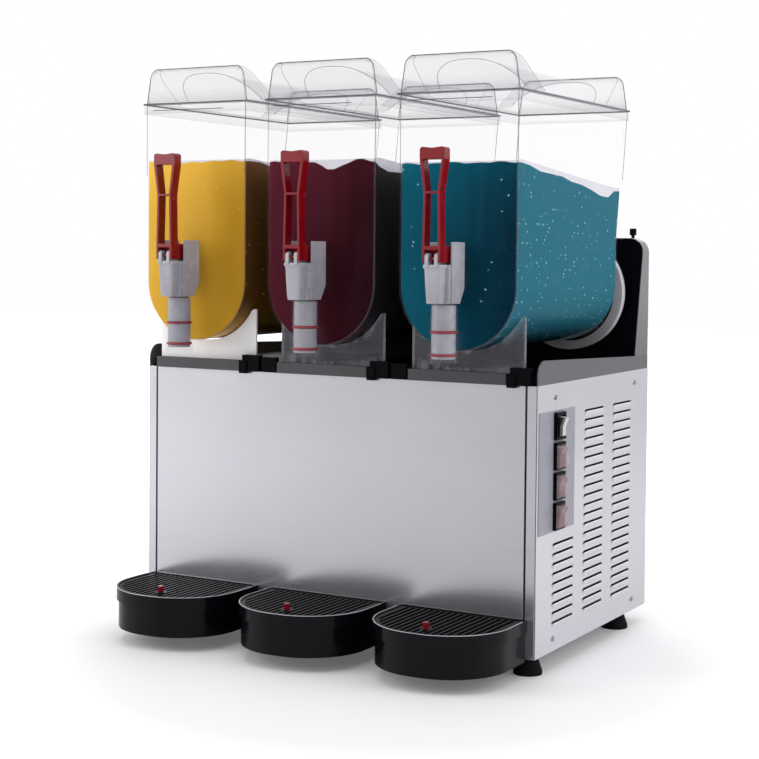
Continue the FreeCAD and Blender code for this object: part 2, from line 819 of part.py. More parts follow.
# Rear panel: louvred sheet with the hole of the mains gland
rear_sheet = new_body("rear_panel_sheet")
rear_outer = "front_y + body_depth"
pad(rear_sheet, "XZ", rear_outer + " - panel_wall", "panel_wall",
    rectangle("-inside_x", "base_z", "inside_x", "deck_z"))
pocket(rear_sheet, "XZ", rear_outer + " - panel_wall", "panel_wall",
       ("circle", "gland_x", "base_z + gland_z", "gland_neck_radius + stud_clearance"))
rear_slot = box("rear_panel_slot", ("louvre_rear_x", rear_outer + " - panel_wall", louvre_top),
                ("louvre_rear_x + louvre_length", rear_outer, louvre_top + " + louvre_slot"))
rear_lip = new_body("rear_panel_lip")
pad(rear_lip, "YZ", "louvre_rear_x", "louvre_length",
    [(rear_outer, louvre_foot), (rear_outer, louvre_top),
     (rear_outer + " + louvre_lip_reach", louvre_top)])
slots, lips = louvre_set("rear_panel", rear_slot, rear_lip, ("louvre_tall_count",) * 3,
                         x_step="louvre_length + louvre_rear_gap")
pieces["rear_panel"] = fuse("rear_panel", [cut("rear_panel_slotted", rear_sheet, slots)] + lips)


# Cable gland: flanged nylon bushing with a lock nut inside the panel
gland_outer = "front_y + body_depth"
gland_start = ("gland_x", gland_outer, "base_z + gland_z")
gland_head = cone("gland_head", "gland_radius", "gland_radius * 0.8", "gland_reach", gland_start, Y_TO_Z)
gland_back = ("gland_x", gland_outer + " - gland_neck_length", "base_z + gland_z")
gland_neck = rod("gland_neck", "gland_neck_radius", "gland_neck_length", gland_back, Y_TO_Z)
gland_nut = rod("gland_nut", "gland_nut_radius", "gland_nut_height",
                ("gland_x", gland_outer + " - panel_wall - seam_gap - gland_nut_height",
                 "base_z + gland_z"), Y_TO_Z)
gland_bore = rod("gland_bore", "gland_bore_radius", "gland_neck_length + gland_reach", gland_back, Y_TO_Z)
pieces["cable_gland"] = cut("cable_gland", fuse("gland_form", [gland_head, gland_neck, gland_nut]),
                            gland_bore)


# Deck: black tray top that carries the bowls, with ports for the three drive motors
deck = new_body("deck")
deck_half = "side_x - skirt_wall - deck_side_gap"
pad(deck, "XY", "deck_z", "deck_thickness",
    rectangle("-(%s)" % deck_half, "front_y + deck_front_y", deck_half, "front_y + body_depth"))
pocket(deck, "XY", "deck_z", "deck_thickness",
       *[("circle", bay, "motor_y", "motor_radius + 2 * motor_gap") for bay in BAYS])
pieces["deck"] = deck


# Deck skirts: grey side plates that stand on the side panels and box the deck in
skirts = []
for side in ("left", "right"):
    skirt = new_body("skirt_" + side)
    skirt_x = "side_x - skirt_wall" if side == "right" else "-side_x"
    pad(skirt, "YZ", skirt_x, "skirt_wall",
        [("front_y + skirt_front_y", "deck_z"), ("front_y + body_depth - 2", "deck_z"),
         ("front_y + body_depth - 2", "deck_z + skirt_rear_height"),
         ("front_y + skirt_front_y", "deck_z + skirt_front_height", "skirt_corner_radius")])
    skirts.append(skirt)
pieces["deck_skirts"] = group("deck_skirts", skirts)


# Gutters: dark strips that close the deck's front edge under each bowl
gutter = new_body("gutter")
gutter_front = "front_y - gutter_reach"
pad(gutter, "XY", "deck_z", "gutter_height",
    rectangle("-gutter_left", gutter_front, "gutter_right", "front_y + deck_front_y - seam_gap"))
pocket(gutter, "XY", "deck_z + gutter_wall", "gutter_height",
       rectangle("gutter_wall - gutter_left", gutter_front + " + gutter_wall",
                 "gutter_right - gutter_wall", "front_y + deck_front_y - seam_gap - gutter_wall"))
pieces["drip_gutters"] = row_of_three("drip_gutters", gutter)


# Bowl latches: black clips at the right of each gutter, and the spacers between the bowls
latch = new_body("latch")
pad(latch, "XY", "deck_z - latch_drop", "latch_drop + gutter_height",
    rectangle("latch_left", gutter_front + " - 2", "latch_right", "front_y - seam_gap"))
pad(latch, "XY", "deck_z", "latch_height",
    rectangle("latch_left + 4", gutter_front, "latch_block_right", "front_y + 4"))
latches = [shifted("latch_left_bay", latch, x="-bay_pitch"), latch,
           shifted("latch_right_bay", latch, x="bay_pitch")]
for number, bay in enumerate(BAYS[:2], start=1):
    spacer = box("spacer_%d" % number,
                 (bay + " + latch_block_right + spacer_gap", gutter_front + " + 2", "deck_z"),
                 (bay + " + bay_pitch - gutter_left - spacer_gap", "front_y + deck_front_y - seam_gap",
                  "deck_z + spacer_height"))
    latches.append(spacer)
pieces["bowl_latches"] = group("bowl_latches", latches)


# Column front: black shell that leans back, with a round seat for each cooling drum
column_front = new_body("column_front")
shell_half = "column_half - panel_wall - seam_gap"
shell_top = "column_top_z - panel_wall - seam_gap"
shell_radius = "column_corner_radius - panel_wall - seam_gap"
front_foot_y = "front_y + column_foot_y"
front_top_y = front_foot_y + " + column_lean"
back_foot_y = front_foot_y + " + column_wall"
back_top_y = front_top_y + " + column_wall"
near_y = "front_y + bowl_waist_y"
far_y = "front_y + column_back_y"
pad(column_front, "XZ", near_y, "column_back_y - bowl_waist_y",
    [("-(%s)" % shell_half, "column_z"), (shell_half, "column_z"), (shell_half, shell_top, shell_radius),
     ("-(%s)" % shell_half, shell_top, shell_radius)])
pocket(column_front, "YZ", "-column_half", "2 * column_half",
       [(near_y, "column_z"), (front_foot_y, "column_z"), (front_top_y, "column_top_z"),
        (near_y, "column_top_z")])
pad(column_front, "XZ", "front_y + seat_boss_y", "column_back_y - seat_boss_y",
    *[("circle", bay, "axis_z", "seat_boss_radius") for bay in BAYS])
pocket(column_front, "YZ", "-column_half", "2 * column_half",
       [(back_foot_y, "column_z"), (far_y, "column_z"), (far_y, "column_top_z"),
        (back_top_y, "column_top_z")])
pocket(column_front, "XZ", near_y, "column_back_y - bowl_waist_y",
       *[("circle", bay, "axis_z", "shaft_port_radius") for bay in BAYS])
pieces["column_front"] = column_front


# Column cover: stainless hood over the sides, top and back of the column
column_cover = new_body("column_cover")
pad(column_cover, "XZ", near_y, "column_back_y - bowl_waist_y",
    [("-column_half", "column_z"), ("column_half", "column_z"),
     ("column_half", "column_top_z", "column_corner_radius"),
     ("-column_half", "column_top_z", "column_corner_radius")])
hood_half = "column_half - panel_wall"
hood_top = "column_top_z - panel_wall"
hood_radius = "column_corner_radius - panel_wall"
pocket(column_cover, "XZ", near_y, "column_back_y - bowl_waist_y - panel_wall",
       [("-(%s)" % hood_half, "column_z - 1"), (hood_half, "column_z - 1"),
        (hood_half, hood_top, hood_radius), ("-(%s)" % hood_half, hood_top, hood_radius)])
pocket(column_cover, "YZ", "-column_half", "2 * column_half",
       [(near_y, "column_z"), (front_foot_y, "column_z"), (front_top_y, "column_top_z"),
        (near_y, "column_top_z")])
for sign in ("-", ""):
    pocket(column_cover, "XY", "column_top_z - 3 * panel_wall", "3 * panel_wall",
           ("circle", sign + "knob_x", "front_y + knob_y", "knob_stem_radius + stud_clearance"))
pieces["column_cover"] = column_cover


# Thumb knobs: knurled screws that hold the cover at its two ends
knobs = []
for side, sign in (("left", "-"), ("right", "")):
    name = "knob_" + side
    stem_foot = "column_top_z - panel_wall - knob_screw"
    stem = rod(name + "_stem", "knob_stem_radius", "panel_wall + knob_screw + knob_stem_height",
               (sign + "knob_x", "front_y + knob_y", stem_foot))
    head = rod(name + "_head", "knob_head_radius", "knob_head_height",
               (sign + "knob_x", "front_y + knob_y", "column_top_z + knob_stem_height"))
    knobs.append(fuse(name, [stem, head]))
pieces["thumb_knobs"] = group("thumb_knobs", knobs)


# Gear motors: a gearbox behind each drum seat with its motor hanging through the deck
gearbox = box("gearbox", ("-gearbox_half", "gearbox_y", "motor_top_z"),
              ("gearbox_half", "gearbox_back_y", "axis_z + gearbox_height / 2"))
motor = rod("drive_motor", "motor_radius", "motor_length", ("0", "motor_y", "motor_top_z - motor_length"))
output_bore = rod("output_bore", "shaft_radius + running_clearance", "shaft_tail",
                  ("0", "gearbox_y", "axis_z"), Y_TO_Z)
gear_motor = cut("gear_motor", fuse("gear_motor_form", [gearbox, motor]), output_bore)
pieces["gear_motors"] = row_of_three("gear_motors", gear_motor)


# Cooling drums: stainless evaporator cylinders that stand into the bowls
drum_seat_y = "front_y + seat_boss_y"
drum = rod("drum_shell", "drum_radius", "seat_boss_y - drum_front_y",
           ("0", "front_y + drum_front_y", "axis_z"), Y_TO_Z)
flange = rod("drum_flange", "drum_flange_radius", "drum_flange_thickness",
             ("0", drum_seat_y + " - drum_flange_thickness", "axis_z"), Y_TO_Z)
drum_space = rod("drum_space", "drum_radius - drum_wall", "seat_boss_y - drum_front_y - drum_wall",
                 ("0", "front_y + drum_front_y + drum_wall", "axis_z"), Y_TO_Z)
sleeve = rod("drum_sleeve", "drum_sleeve_radius", "seat_boss_y - drum_front_y",
             ("0", "front_y + drum_front_y", "axis_z"), Y_TO_Z)
drum_bore = rod("drum_bore", "shaft_radius + running_clearance", "seat_boss_y - drum_front_y",
                ("0", "front_y + drum_front_y", "axis_z"), Y_TO_Z)
drum_wall = cut("drum_hollow", fuse("drum_form", [drum, flange]), drum_space)
evaporator = cut("evaporator", fuse("drum_and_sleeve", [drum_wall, sleeve]), drum_bore)
pieces["evaporators"] = row_of_three("evaporators", evaporator)


# Augers: a spiral blade on two rods, carried by a spider, a hub and the drive shaft
auger_line = document.addObject("Part::Helix", "auger_line")
bind(auger_line, Pitch="auger_pitch", Height="auger_length", Radius="auger_inner_radius")
section = document.addObject("Sketcher::SketchObject", "auger_section")
section.Placement = FreeCAD.Placement(FreeCAD.Vector(), FreeCAD.Rotation(FreeCAD.Vector(1, 0, 0), 90))
draw_outline(section, rectangle("auger_inner_radius", "-auger_blade / 2", "auger_radius",
                                "auger_blade / 2"))
blade = document.addObject("Part::Sweep", "auger_blade")
blade.Sections = [section]
blade.Spine = (auger_line, ["Edge1"])
blade.Solid = True
blade.Frenet = True
spider_y = "front_y + drum_front_y - auger_hub_gap - auger_hub_length"
blade_y = "front_y + drum_front_y + auger_hub_gap + auger_blade"
place(blade, "0", blade_y, "axis_z", Y_TO_Z)
hub = rod("auger_hub", "auger_hub_radius", "auger_hub_length", ("0", spider_y, "axis_z"), Y_TO_Z)
shaft = rod("auger_shaft", "shaft_radius",
            "gearbox_y + shaft_tail - auger_tail_gap - (%s)" % spider_y, ("0", spider_y, "axis_z"), Y_TO_Z)
arm = box("auger_arm", ("-auger_rod_radius", spider_y, "axis_z - auger_radius + 1"),
          ("auger_rod_radius", spider_y + " + auger_hub_length / 2", "axis_z + auger_radius - 1"))
rod_reach = "(auger_inner_radius + auger_radius) / 2"
rod_length = "auger_length + auger_hub_length"
rods = [rod("auger_rod_%d" % (i + 1), "auger_rod_radius", rod_length,
            ("0", spider_y, "axis_z %s %s" % (sign, rod_reach)), Y_TO_Z)
        for i, sign in enumerate("-+")]
auger = fuse("auger", [shaft, hub, arm, blade] + rods)
pieces.update(in_three_bays("auger", auger))


# Bowls: clear tubs with a round bottom, a leaning rear wall, a rear port, an apron and a tap tube
def bowl_section(inset):
    """The round-bottomed outline across the bowl, its walls moved in by an inset."""
    return ("trough", "bowl_half - " + inset, "deck_z + bowl_axis_height", "deck_z + bowl_top")


def behind_rear_wall(inset):
    """The region behind the bowl's rear wall, which leans back above the waist."""
    top_y = "front_y + bowl_rear_y - %s" % inset
    waist_y = "front_y + bowl_waist_y - %s" % inset
    past_y = "front_y + column_back_y"
    return [(waist_y, "base_z"), (past_y, "base_z"), (past_y, "deck_z + bowl_top + bowl_half"),
            (top_y, "deck_z + bowl_top + bowl_half"), (top_y, "deck_z + bowl_top"),
            (waist_y, "deck_z + bowl_waist_height")]


bowl = new_body("bowl")
pad(bowl, "XZ", "front_y + bowl_front_y", "bowl_rear_y - bowl_front_y", bowl_section("0"))
pocket(bowl, "YZ", "-bowl_half", "2 * bowl_half", behind_rear_wall("0"))
pad(bowl, "XZ", "front_y + bowl_waist_y - bowl_wall", "bowl_rear_y - bowl_waist_y + bowl_wall",
    ("circle", "0", "axis_z", "collar_radius"))
pad(bowl, "XZ", "front_y + apron_y", "apron_wall",
    rectangle("-apron_half", "deck_z + apron_foot", "apron_half", "deck_z + apron_top"))
pad(bowl, "XY", "deck_z + tube_foot", "tube_step - tube_foot",
    ("circle", "0", "front_y + tap_y", "tube_radius"))
pad(bowl, "XY", "deck_z + tube_foot", "tube_top - tube_foot",
    ("circle", "0", "front_y + tap_y", "tube_neck_radius"))
for sign in "-+":
    rail_x = "%s(cheek_half - cheek_wall / 2)" % sign
    pad(bowl, "XY", "deck_z + rail_foot", "rail_top - rail_foot",
        rectangle(rail_x + " - rail_half", "front_y + cheek_back_y + seam_gap", rail_x + " + rail_half",
                  "front_y + bowl_front_y + bowl_wall / 2"))
duct_top = "tube_step - duct_drop"
duct_foot = duct_top + " - 2 * duct_half"
pad(bowl, "YZ", "-duct_half", "2 * duct_half",
    rectangle("front_y + tap_y", "deck_z + " + duct_foot, "front_y + bowl_front_y + bowl_corner_radius",
              "deck_z + " + duct_top))
cavity = new_body("bowl_cavity")
pad(cavity, "XZ", "front_y + bowl_front_y + bowl_wall", "bowl_rear_y - bowl_front_y - bowl_wall",
    bowl_section("bowl_wall"))
pocket(cavity, "YZ", "-bowl_half", "2 * bowl_half", behind_rear_wall("bowl_wall"))
round_edges(cavity, "bowl_corner_radius",
            lambda edge: abs(edge.CenterOfMass.y - value("front_y + bowl_front_y + bowl_wall")) < 0.1
            and edge.CenterOfMass.z < value("deck_z + bowl_top") - 1)
port = rod("bowl_port", "port_radius", "bowl_rear_y - bowl_waist_y + 2 * bowl_wall",
           ("0", "front_y + bowl_waist_y - 2 * bowl_wall", "axis_z"), Y_TO_Z)
bore = rod("tap_bore", "tube_bore_radius", "tube_top - tube_foot",
           ("0", "front_y + tap_y", "deck_z + tube_foot"))
duct_bore = box("duct_bore", ("-(duct_half - duct_wall)", "front_y + tap_y",
                              "deck_z + %s + duct_wall" % duct_foot),
                ("duct_half - duct_wall", "front_y + bowl_front_y + bowl_wall + bowl_corner_radius",
                 "deck_z + %s - duct_wall" % duct_top))
hollow = fuse("bowl_hollow", [cavity, port, bore, duct_bore])
pieces.update(in_three_bays("bowl", cut("clear_bowl", bowl, hollow)))


# Gaskets: white rubber rings between the bowls' collars and the column's seats
gasket_y = "front_y + seat_boss_y - gasket_gap - gasket_length"
gasket_disc = rod("gasket_disc", "gasket_radius", "gasket_length", ("0", gasket_y, "axis_z"), Y_TO_Z)
gasket_hole = rod("gasket_hole", "collar_radius + gasket_gap", "gasket_length",
                  ("0", gasket_y, "axis_z"), Y_TO_Z)
gasket = cut("gasket", gasket_disc, gasket_hole)
pieces["bowl_gaskets"] = row_of_three("bowl_gaskets", gasket)


# Slush: the frozen drink round the auger's swept space, with its settled top
fill = new_body("fill")
fill_inset = "bowl_wall + fill_gap"
pad(fill, "XZ", "front_y + bowl_front_y + " + fill_inset, "bowl_rear_y - bowl_front_y",
    bowl_section("(%s)" % fill_inset))
pocket(fill, "YZ", "-bowl_half", "2 * bowl_half", behind_rear_wall("(%s)" % fill_inset))
past_front = "front_y + bowl_front_y - bowl_half"
past_rear = "front_y + bowl_rear_y + bowl_half"
pocket(fill, "YZ", "-bowl_half", "2 * bowl_half",
       [(past_front, "deck_z + fill_front"), ("front_y + bowl_front_y", "deck_z + fill_front"),
        ("front_y + fill_low_y", "deck_z + fill_low"), ("front_y + bowl_waist_y", "deck_z + fill_rear"),
        (past_rear, "deck_z + fill_rear"), (past_rear, "deck_z + bowl_top + bowl_half"),
        (past_front, "deck_z + bowl_top + bowl_half")])
round_edges(fill, "bowl_corner_radius",
            lambda edge: abs(edge.CenterOfMass.y - value("front_y + bowl_front_y + " + fill_inset)) < 0.1
            and edge.CenterOfMass.z < value("deck_z + fill_front") - 1)
pocket(fill, "XZ", spider_y + " - auger_sweep_gap", "bowl_rear_y - bowl_front_y",
       ("circle", "0", "axis_z", "auger_radius + auger_sweep_gap"))
pieces.update(in_three_bays("slush", fill))


# Lids: clear covers with a raised end at front and back and a ridge between two finger hollows
def lid_form(name, inset, low):
    """The lid's solid form above a level, its walls moved in by an inset."""
    form = new_body(name)
    foot_half = "lid_half - lid_step - " + inset
    crown_half = "lid_half - lid_step - lid_draft - " + inset
    top = "deck_z + lid_top - " + inset
    radius = "lid_crown_radius - " + inset
    start = "front_y + lid_front_y + lid_step + " + inset
    length = "lid_rear_y - lid_front_y - 2 * lid_step - 2 * " + inset
    pad(form, "XZ", start, length,
        [("-(%s)" % foot_half, low), (foot_half, low), (crown_half, top, radius),
         ("-(%s)" % crown_half, top, radius)])
    front_crest = "front_y + lid_front_y + lid_step + lid_crown - " + inset
    rear_crest = "front_y + lid_rear_y - lid_step - lid_crown + " + inset
    ledge = "lid_z + lid_ledge - " + inset
    over = "deck_z + lid_top + lid_crown"
    pocket(form, "YZ", "-lid_half", "2 * lid_half",
           [(front_crest, top), (front_crest + " + lid_slope", ledge), (rear_crest + " - lid_slope", ledge),
            (rear_crest, top), (rear_crest, over), (front_crest, over)])
    ridge_half = "lid_ridge_half - " + inset
    ridge_top = top + " - lid_ridge_drop"
    ridge_radius = "lid_ridge_radius - " + inset
    pad(form, "XZ", start, length,
        [("-(%s)" % ridge_half, low), (ridge_half, low), (ridge_half, ridge_top, ridge_radius),
         ("-(%s)" % ridge_half, ridge_top, ridge_radius)])
    return form


lid_shell = lid_form("lid_shell", "0", "lid_z - lid_wall")
pad(lid_shell, "XY", "lid_z - lid_wall - lid_skirt", "lid_wall + lid_skirt",
    rectangle("-lid_half", "front_y + lid_front_y", "lid_half", "front_y + lid_rear_y"))
skirt_inner = "lid_half - lid_wall"
pocket(lid_shell, "XY", "lid_z - lid_wall - lid_skirt", "lid_skirt",
       rectangle("-(%s)" % skirt_inner, "front_y + lid_front_y + lid_wall",
                 skirt_inner, "front_y + lid_rear_y - lid_wall"))
lid_space = lid_form("lid_space", "lid_wall", "lid_z - lid_wall")
pieces.update(in_three_bays("lid", cut("clear_lid", lid_shell, lid_space)))


# Tap cups: white housings with two cheeks, a front box and two prongs for the lever's pin
tap_cup = new_body("tap_cup")
cheek_inner = "(cheek_half - cheek_wall)"
cup_inner = "(cup_half - cup_wall)"
cup_back, cup_step = "front_y + cheek_back_y", "front_y + cup_step_y"
cup_front = "front_y + cup_front_y"
half_plan = [("cheek_half", cup_back), (cheek_inner, cup_back), (cheek_inner, cup_step + " + cup_wall"),
             (cup_inner, cup_step + " + cup_wall"), (cup_inner, cup_front + " + cup_wall")]
outer_plan = [("cheek_half", cup_step), ("cup_half", cup_step), ("cup_half", cup_front)]


def both_sides(corners):
    """A run of corners and then its mirror image, back along the other side."""
    return corners + [("-(%s)" % x, y) for x, y in reversed(corners)]


cup_plan = both_sides(half_plan) + [(x, y) for x, y in both_sides(list(reversed(outer_plan)))[3:]]
cup_plan += list(reversed(outer_plan))
pad(tap_cup, "XY", "deck_z + cup_foot", "cup_rim - cup_foot", cup_plan)
for sign in ("-", ""):
    pad(tap_cup, "XY", "deck_z + cup_rim", "cheek_top - cup_rim",
        rectangle("%s(%s)" % (sign, cheek_inner), "front_y + cheek_top_front_y",
                  "%scheek_half" % sign, cup_back))
rim_outer = "(cup_half + cup_rim_reach)"
pad(tap_cup, "XY", "deck_z + cup_rim - cup_rim_height", "cup_rim_height",
    [(rim_outer, cup_step + " + seam_gap"), (cup_inner, cup_step + " + seam_gap"),
     (cup_inner, cup_front + " + cup_wall"), ("-" + cup_inner, cup_front + " + cup_wall"),
     ("-" + cup_inner, cup_step + " + seam_gap"), ("-" + rim_outer, cup_step + " + seam_gap"),
     ("-" + rim_outer, cup_front + " - cup_rim_reach"), (rim_outer, cup_front + " - cup_rim_reach")])
for start in ("-prong_outer", "prong_outer - prong_thickness"):
    pad(tap_cup, "YZ", start, "prong_thickness",
        rectangle("pin_y - prong_radius", "deck_z + cup_rim - cup_rim_height / 2",
                  "pin_y + prong_radius", "pin_z + prong_height"))
pocket(tap_cup, "YZ", "-prong_outer", "2 * prong_outer",
       ("circle", "pin_y", "pin_z", "lever_pin_radius + running_clearance"))
pieces["tap_cups"] = row_of_three("tap_cups", tap_cup)


# Tap levers: red frames with two windows and a forked foot. The front pin hinges in the cup's
# prongs and the cross pin behind it lifts the piston.
lever = new_body("lever")
lever_sole_z = "pin_z - lever_sole"
waist_z = "deck_z + lever_waist_height"
lever_top_z = "deck_z + lever_top"
pad_foot_z = lever_top_z + " - lever_pad_height"
heel_z = "pin_z + lever_heel"
outer_side = [("lever_half_foot", lever_sole_z), ("lever_half_foot", heel_z), ("lever_half_waist", waist_z),
              ("lever_half_top", pad_foot_z), ("lever_half_top", lever_top_z, "lever_corner_radius"),
              ("0", lever_top_z + " - lever_notch")]
lever_outline = outer_side + [("-" + corner[0],) + corner[1:] for corner in reversed(outer_side[:-1])]
pad(lever, "XZ", "lever_y", "lever_depth", lever_outline)
pad(lever, "YZ", "-lever_half_foot", "2 * lever_half_foot",
    rectangle("pin_y", lever_sole_z, "cross_pin_y + lever_sole", heel_z, "lever_sole - 1"))
bridge_z = heel_z + " - lever_bridge"
past_lever = "2 * lever_arm + lever_depth"
pocket(lever, "XZ", "lever_y", past_lever,
       rectangle("-leg_half", lever_sole_z + " - 1", "leg_half", bridge_z))
upper_top = "(lever_half_top - lever_leg - 1)"
waist_in = "(lever_half_waist - lever_leg)"
foot_in = "(lever_half_foot - lever_leg)"
pocket(lever, "XZ", "lever_y", "lever_depth",
       [("-" + waist_in, waist_z + " + lever_bar / 2"), (waist_in, waist_z + " + lever_bar / 2"),
        (upper_top, pad_foot_z), ("-" + upper_top, pad_foot_z)],
       [("-" + foot_in, heel_z), (foot_in, heel_z), (waist_in, waist_z + " - lever_bar / 2"),
        ("-" + waist_in, waist_z + " - lever_bar / 2")])
pocket(lever, "XZ", "lever_y + lever_depth", past_lever, rectangle("-leg_half", bridge_z + " - 1",
                                                                   "leg_half", heel_z + " + 1"))
pad(lever, "YZ", "-leg_half", "2 * leg_half", ("circle", "pin_y", "pin_z", "lever_pin_radius"),
    ("circle", "cross_pin_y", "pin_z", "cross_pin_radius"))
pieces.update(in_three_bays("tap_lever", lever))


# Tap pistons: white plungers with two seal grooves and a slotted stem for the lever's cross pin
slot_reach = "lever_arm * (1 - cos(lever_swing)) / 2"
slot_middle = "cross_pin_y - " + slot_reach
slot_half = "cross_pin_radius + slot_margin + " + slot_reach
plunger = rod("plunger", "piston_radius", "piston_top - piston_foot",
              ("0", "front_y + tap_y", "deck_z + piston_foot"))
stem = box("piston_stem",
           ("-piston_stem_half", slot_middle + " - (%s) - piston_stem_margin" % slot_half,
            "piston_z - piston_stem_margin"),
           ("piston_stem_half", slot_middle + " + (%s) + piston_stem_margin" % slot_half,
            "pin_z + cross_pin_radius + slot_margin + piston_stem_margin"))
stem_slot = box("piston_slot",
                ("-piston_stem_half", slot_middle + " - (%s)" % slot_half,
                 "pin_z - cross_pin_radius - slot_margin"),
                ("piston_stem_half", slot_middle + " + (%s)" % slot_half,
                 "pin_z + cross_pin_radius + slot_margin"))
seal_line_radius = "tube_bore_radius - seal_gap - seal_section / 2"
groove_floor = "(%s) - seal_section / 2 - seal_gap" % seal_line_radius
grooves, seals = [], []
for level in ("seal_low", "seal_high"):
    foot = "deck_z + %s - seal_section / 2 - seal_gap" % level
    ring = rod(level + "_ring", "piston_radius + 1", "seal_section + 2 * seal_gap",
               ("0", "front_y + tap_y", foot))
    core = rod(level + "_core", groove_floor, "seal_section + 2 * seal_gap", ("0", "front_y + tap_y", foot))
    grooves.append(cut(level + "_groove", ring, core))
    seal = document.addObject("Part::Torus", level + "_seal")
    bind(seal, Radius1=seal_line_radius, Radius2="seal_section / 2")
    seals.append(place(seal, "0", "front_y + tap_y", "deck_z + " + level))
piston_form = fuse("piston_form", [plunger, stem])
piston = cut("piston", piston_form, group("piston_cuts", [stem_slot] + grooves))
pieces.update(in_three_bays("tap_piston", piston))
pieces.update(in_three_bays("piston_seals", group("seal_pair", seals)))


# Drip trays: black basins hung on the front panel by two hooks
def tray_plan(inset, back="0"):
    """The tray's plan: straight back and sides and a round nose, moved in by an inset."""
    half = "tray_half - (%s)" % inset
    back_y = "front_y - tray_back_gap - (%s)" % back
    nose_y = "front_y - tray_reach + (%s)" % inset
    radius = "tray_nose_radius - (%s)" % inset
    return [("-(%s)" % half, nose_y, radius), (half, nose_y, radius), (half, back_y),
            ("-(%s)" % half, back_y)]


tray = new_body("tray")
pad(tray, "XY", "base_z + tray_foot", "tray_top - tray_foot", tray_plan("tray_inset"))
pad(tray, "XY", "base_z + tray_band", "tray_top - tray_band", tray_plan("0"))
pocket(tray, "XY", "base_z + tray_foot + tray_wall", "tray_top - tray_foot",
       tray_plan("tray_inset + tray_wall", "tray_wall"))
seat_z = "grille_z - grille_thickness - seam_gap"
pocket(tray, "XY", seat_z, "tray_top", tray_plan("tray_wall", "tray_wall"))
for sign in "-+":
    hook_low, hook_high = "%s hook_x - hook_half" % sign, "%s hook_x + hook_half" % sign
    pad(tray, "XY", "base_z + hook_top - hook_wall", "hook_wall",
        rectangle(hook_low, "front_y - tray_back_gap - tray_wall / 2", hook_high, "front_y + hook_reach"))
    pad(tray, "XY", "base_z + hook_top - hook_wall - hook_drop", "hook_wall + hook_drop",
        rectangle(hook_low, "front_y + hook_reach - hook_wall", hook_high, "front_y + hook_reach"))
pieces.update(in_three_bays("drip_tray", tray))


# Drip grilles: slotted black plates that lie in the trays
grille_plate = new_body("grille_plate")
grille_foot = "grille_z - grille_thickness"
grille_inset = "tray_wall + grille_gap"
pad(grille_plate, "XY", grille_foot, "grille_thickness", tray_plan(grille_inset, grille_inset))
pocket(grille_plate, "XY", grille_foot, "grille_thickness",
       ("circle", "0", "front_y + float_y", "float_radius + float_clearance"))
slotted = new_body("grille_field")
pad(slotted, "XY", grille_foot, "grille_thickness",
    tray_plan(grille_inset + " + grille_rim", grille_inset + " + grille_rim"))
pocket(slotted, "XY", grille_foot, "grille_thickness",
       ("circle", "0", "front_y + float_y", "grille_island"))
grille_slot = box("grille_slot", ("-grille_slot / 2", "front_y - tray_reach", grille_foot),
                  ("grille_slot / 2", "front_y", "grille_z"))
slot_count = int(value("grille_slot_count"))
slot_row = [shifted("grille_slot_%d" % i, grille_slot,
                    x="(%d - (grille_slot_count - 1) / 2) * grille_slot_pitch" % i)
            for i in range(slot_count)]
openings = document.addObject("Part::MultiCommon", "grille_openings")
openings.Shapes = [group("grille_slots", slot_row), slotted]
pieces.update(in_three_bays("drip_grille", cut("grille", grille_plate, openings)))


# Tray floats: red buttons on a foam disc that rise through the grille when the tray is full
float_foot = "base_z + tray_foot + tray_wall + seam_gap"
float_top = "grille_z + float_show"
float_place = ("0", "front_y + float_y")
float_disc = rod("float_disc", "float_disc_radius", "float_disc_height", float_place + (float_foot,))
float_stem = rod("float_stem", "float_stem_radius", "%s - (%s)" % (float_top, float_foot),
                 float_place + (float_foot,))
float_button = rod("float_button", "float_radius", "float_button",
                   float_place + (float_top + " - float_button",))
pieces.update(in_three_bays("tray_float", fuse("tray_float", [float_disc, float_stem, float_button])))


# Switch plate: pale legend plate on the right side with four cut-outs
switch_plate = new_body("switch_plate")
switch_levels = ["base_z + switch_top - %d * switch_pitch" % step for step in range(4)]
switch_middle = "front_y + switch_y"
cutout_wide = "(switch_half_width - switch_bezel + switch_body_gap)"
cutout_tall = "(switch_half_height - switch_bezel + switch_body_gap)"
pad(switch_plate, "YZ", "side_x", "plate_wall",
    rectangle("front_y + plate_front_y", "base_z + plate_foot", "front_y + plate_back_y",
              "base_z + plate_top"))
pocket(switch_plate, "YZ", "side_x", "plate_wall",
       *[rectangle(switch_middle + " - " + cutout_wide, level + " - " + cutout_tall,
                   switch_middle + " + " + cutout_wide, level + " + " + cutout_tall)
         for level in switch_levels])
pieces["switch_plate"] = switch_plate


# Switch frames: black rocker-switch housings set in the cut-outs
switch_frame = new_body("switch_frame")
body_wide = "(switch_half_width - switch_bezel)"
body_tall = "(switch_half_height - switch_bezel)"
recess_wide = "(%s - 1.2)" % body_wide
recess_tall = "(%s - 0.4)" % body_tall
top_level = switch_levels[0]
pad(switch_frame, "YZ", "plate_x - switch_body_depth", "switch_body_depth",
    rectangle(switch_middle + " - " + body_wide, top_level + " - " + body_tall,
              switch_middle + " + " + body_wide, top_level + " + " + body_tall))
pad(switch_frame, "YZ", "plate_x", "switch_reach",
    rectangle(switch_middle + " - switch_half_width", top_level + " - switch_half_height",
              switch_middle + " + switch_half_width", top_level + " + switch_half_height"))
pocket(switch_frame, "YZ", "plate_x - recess_depth", "recess_depth + switch_reach",
       rectangle(switch_middle + " - " + recess_wide, top_level + " - " + recess_tall,
                 switch_middle + " + " + recess_wide, top_level + " + " + recess_tall))
pin_span = "2 * (%s + rocker_pin_reach)" % recess_wide
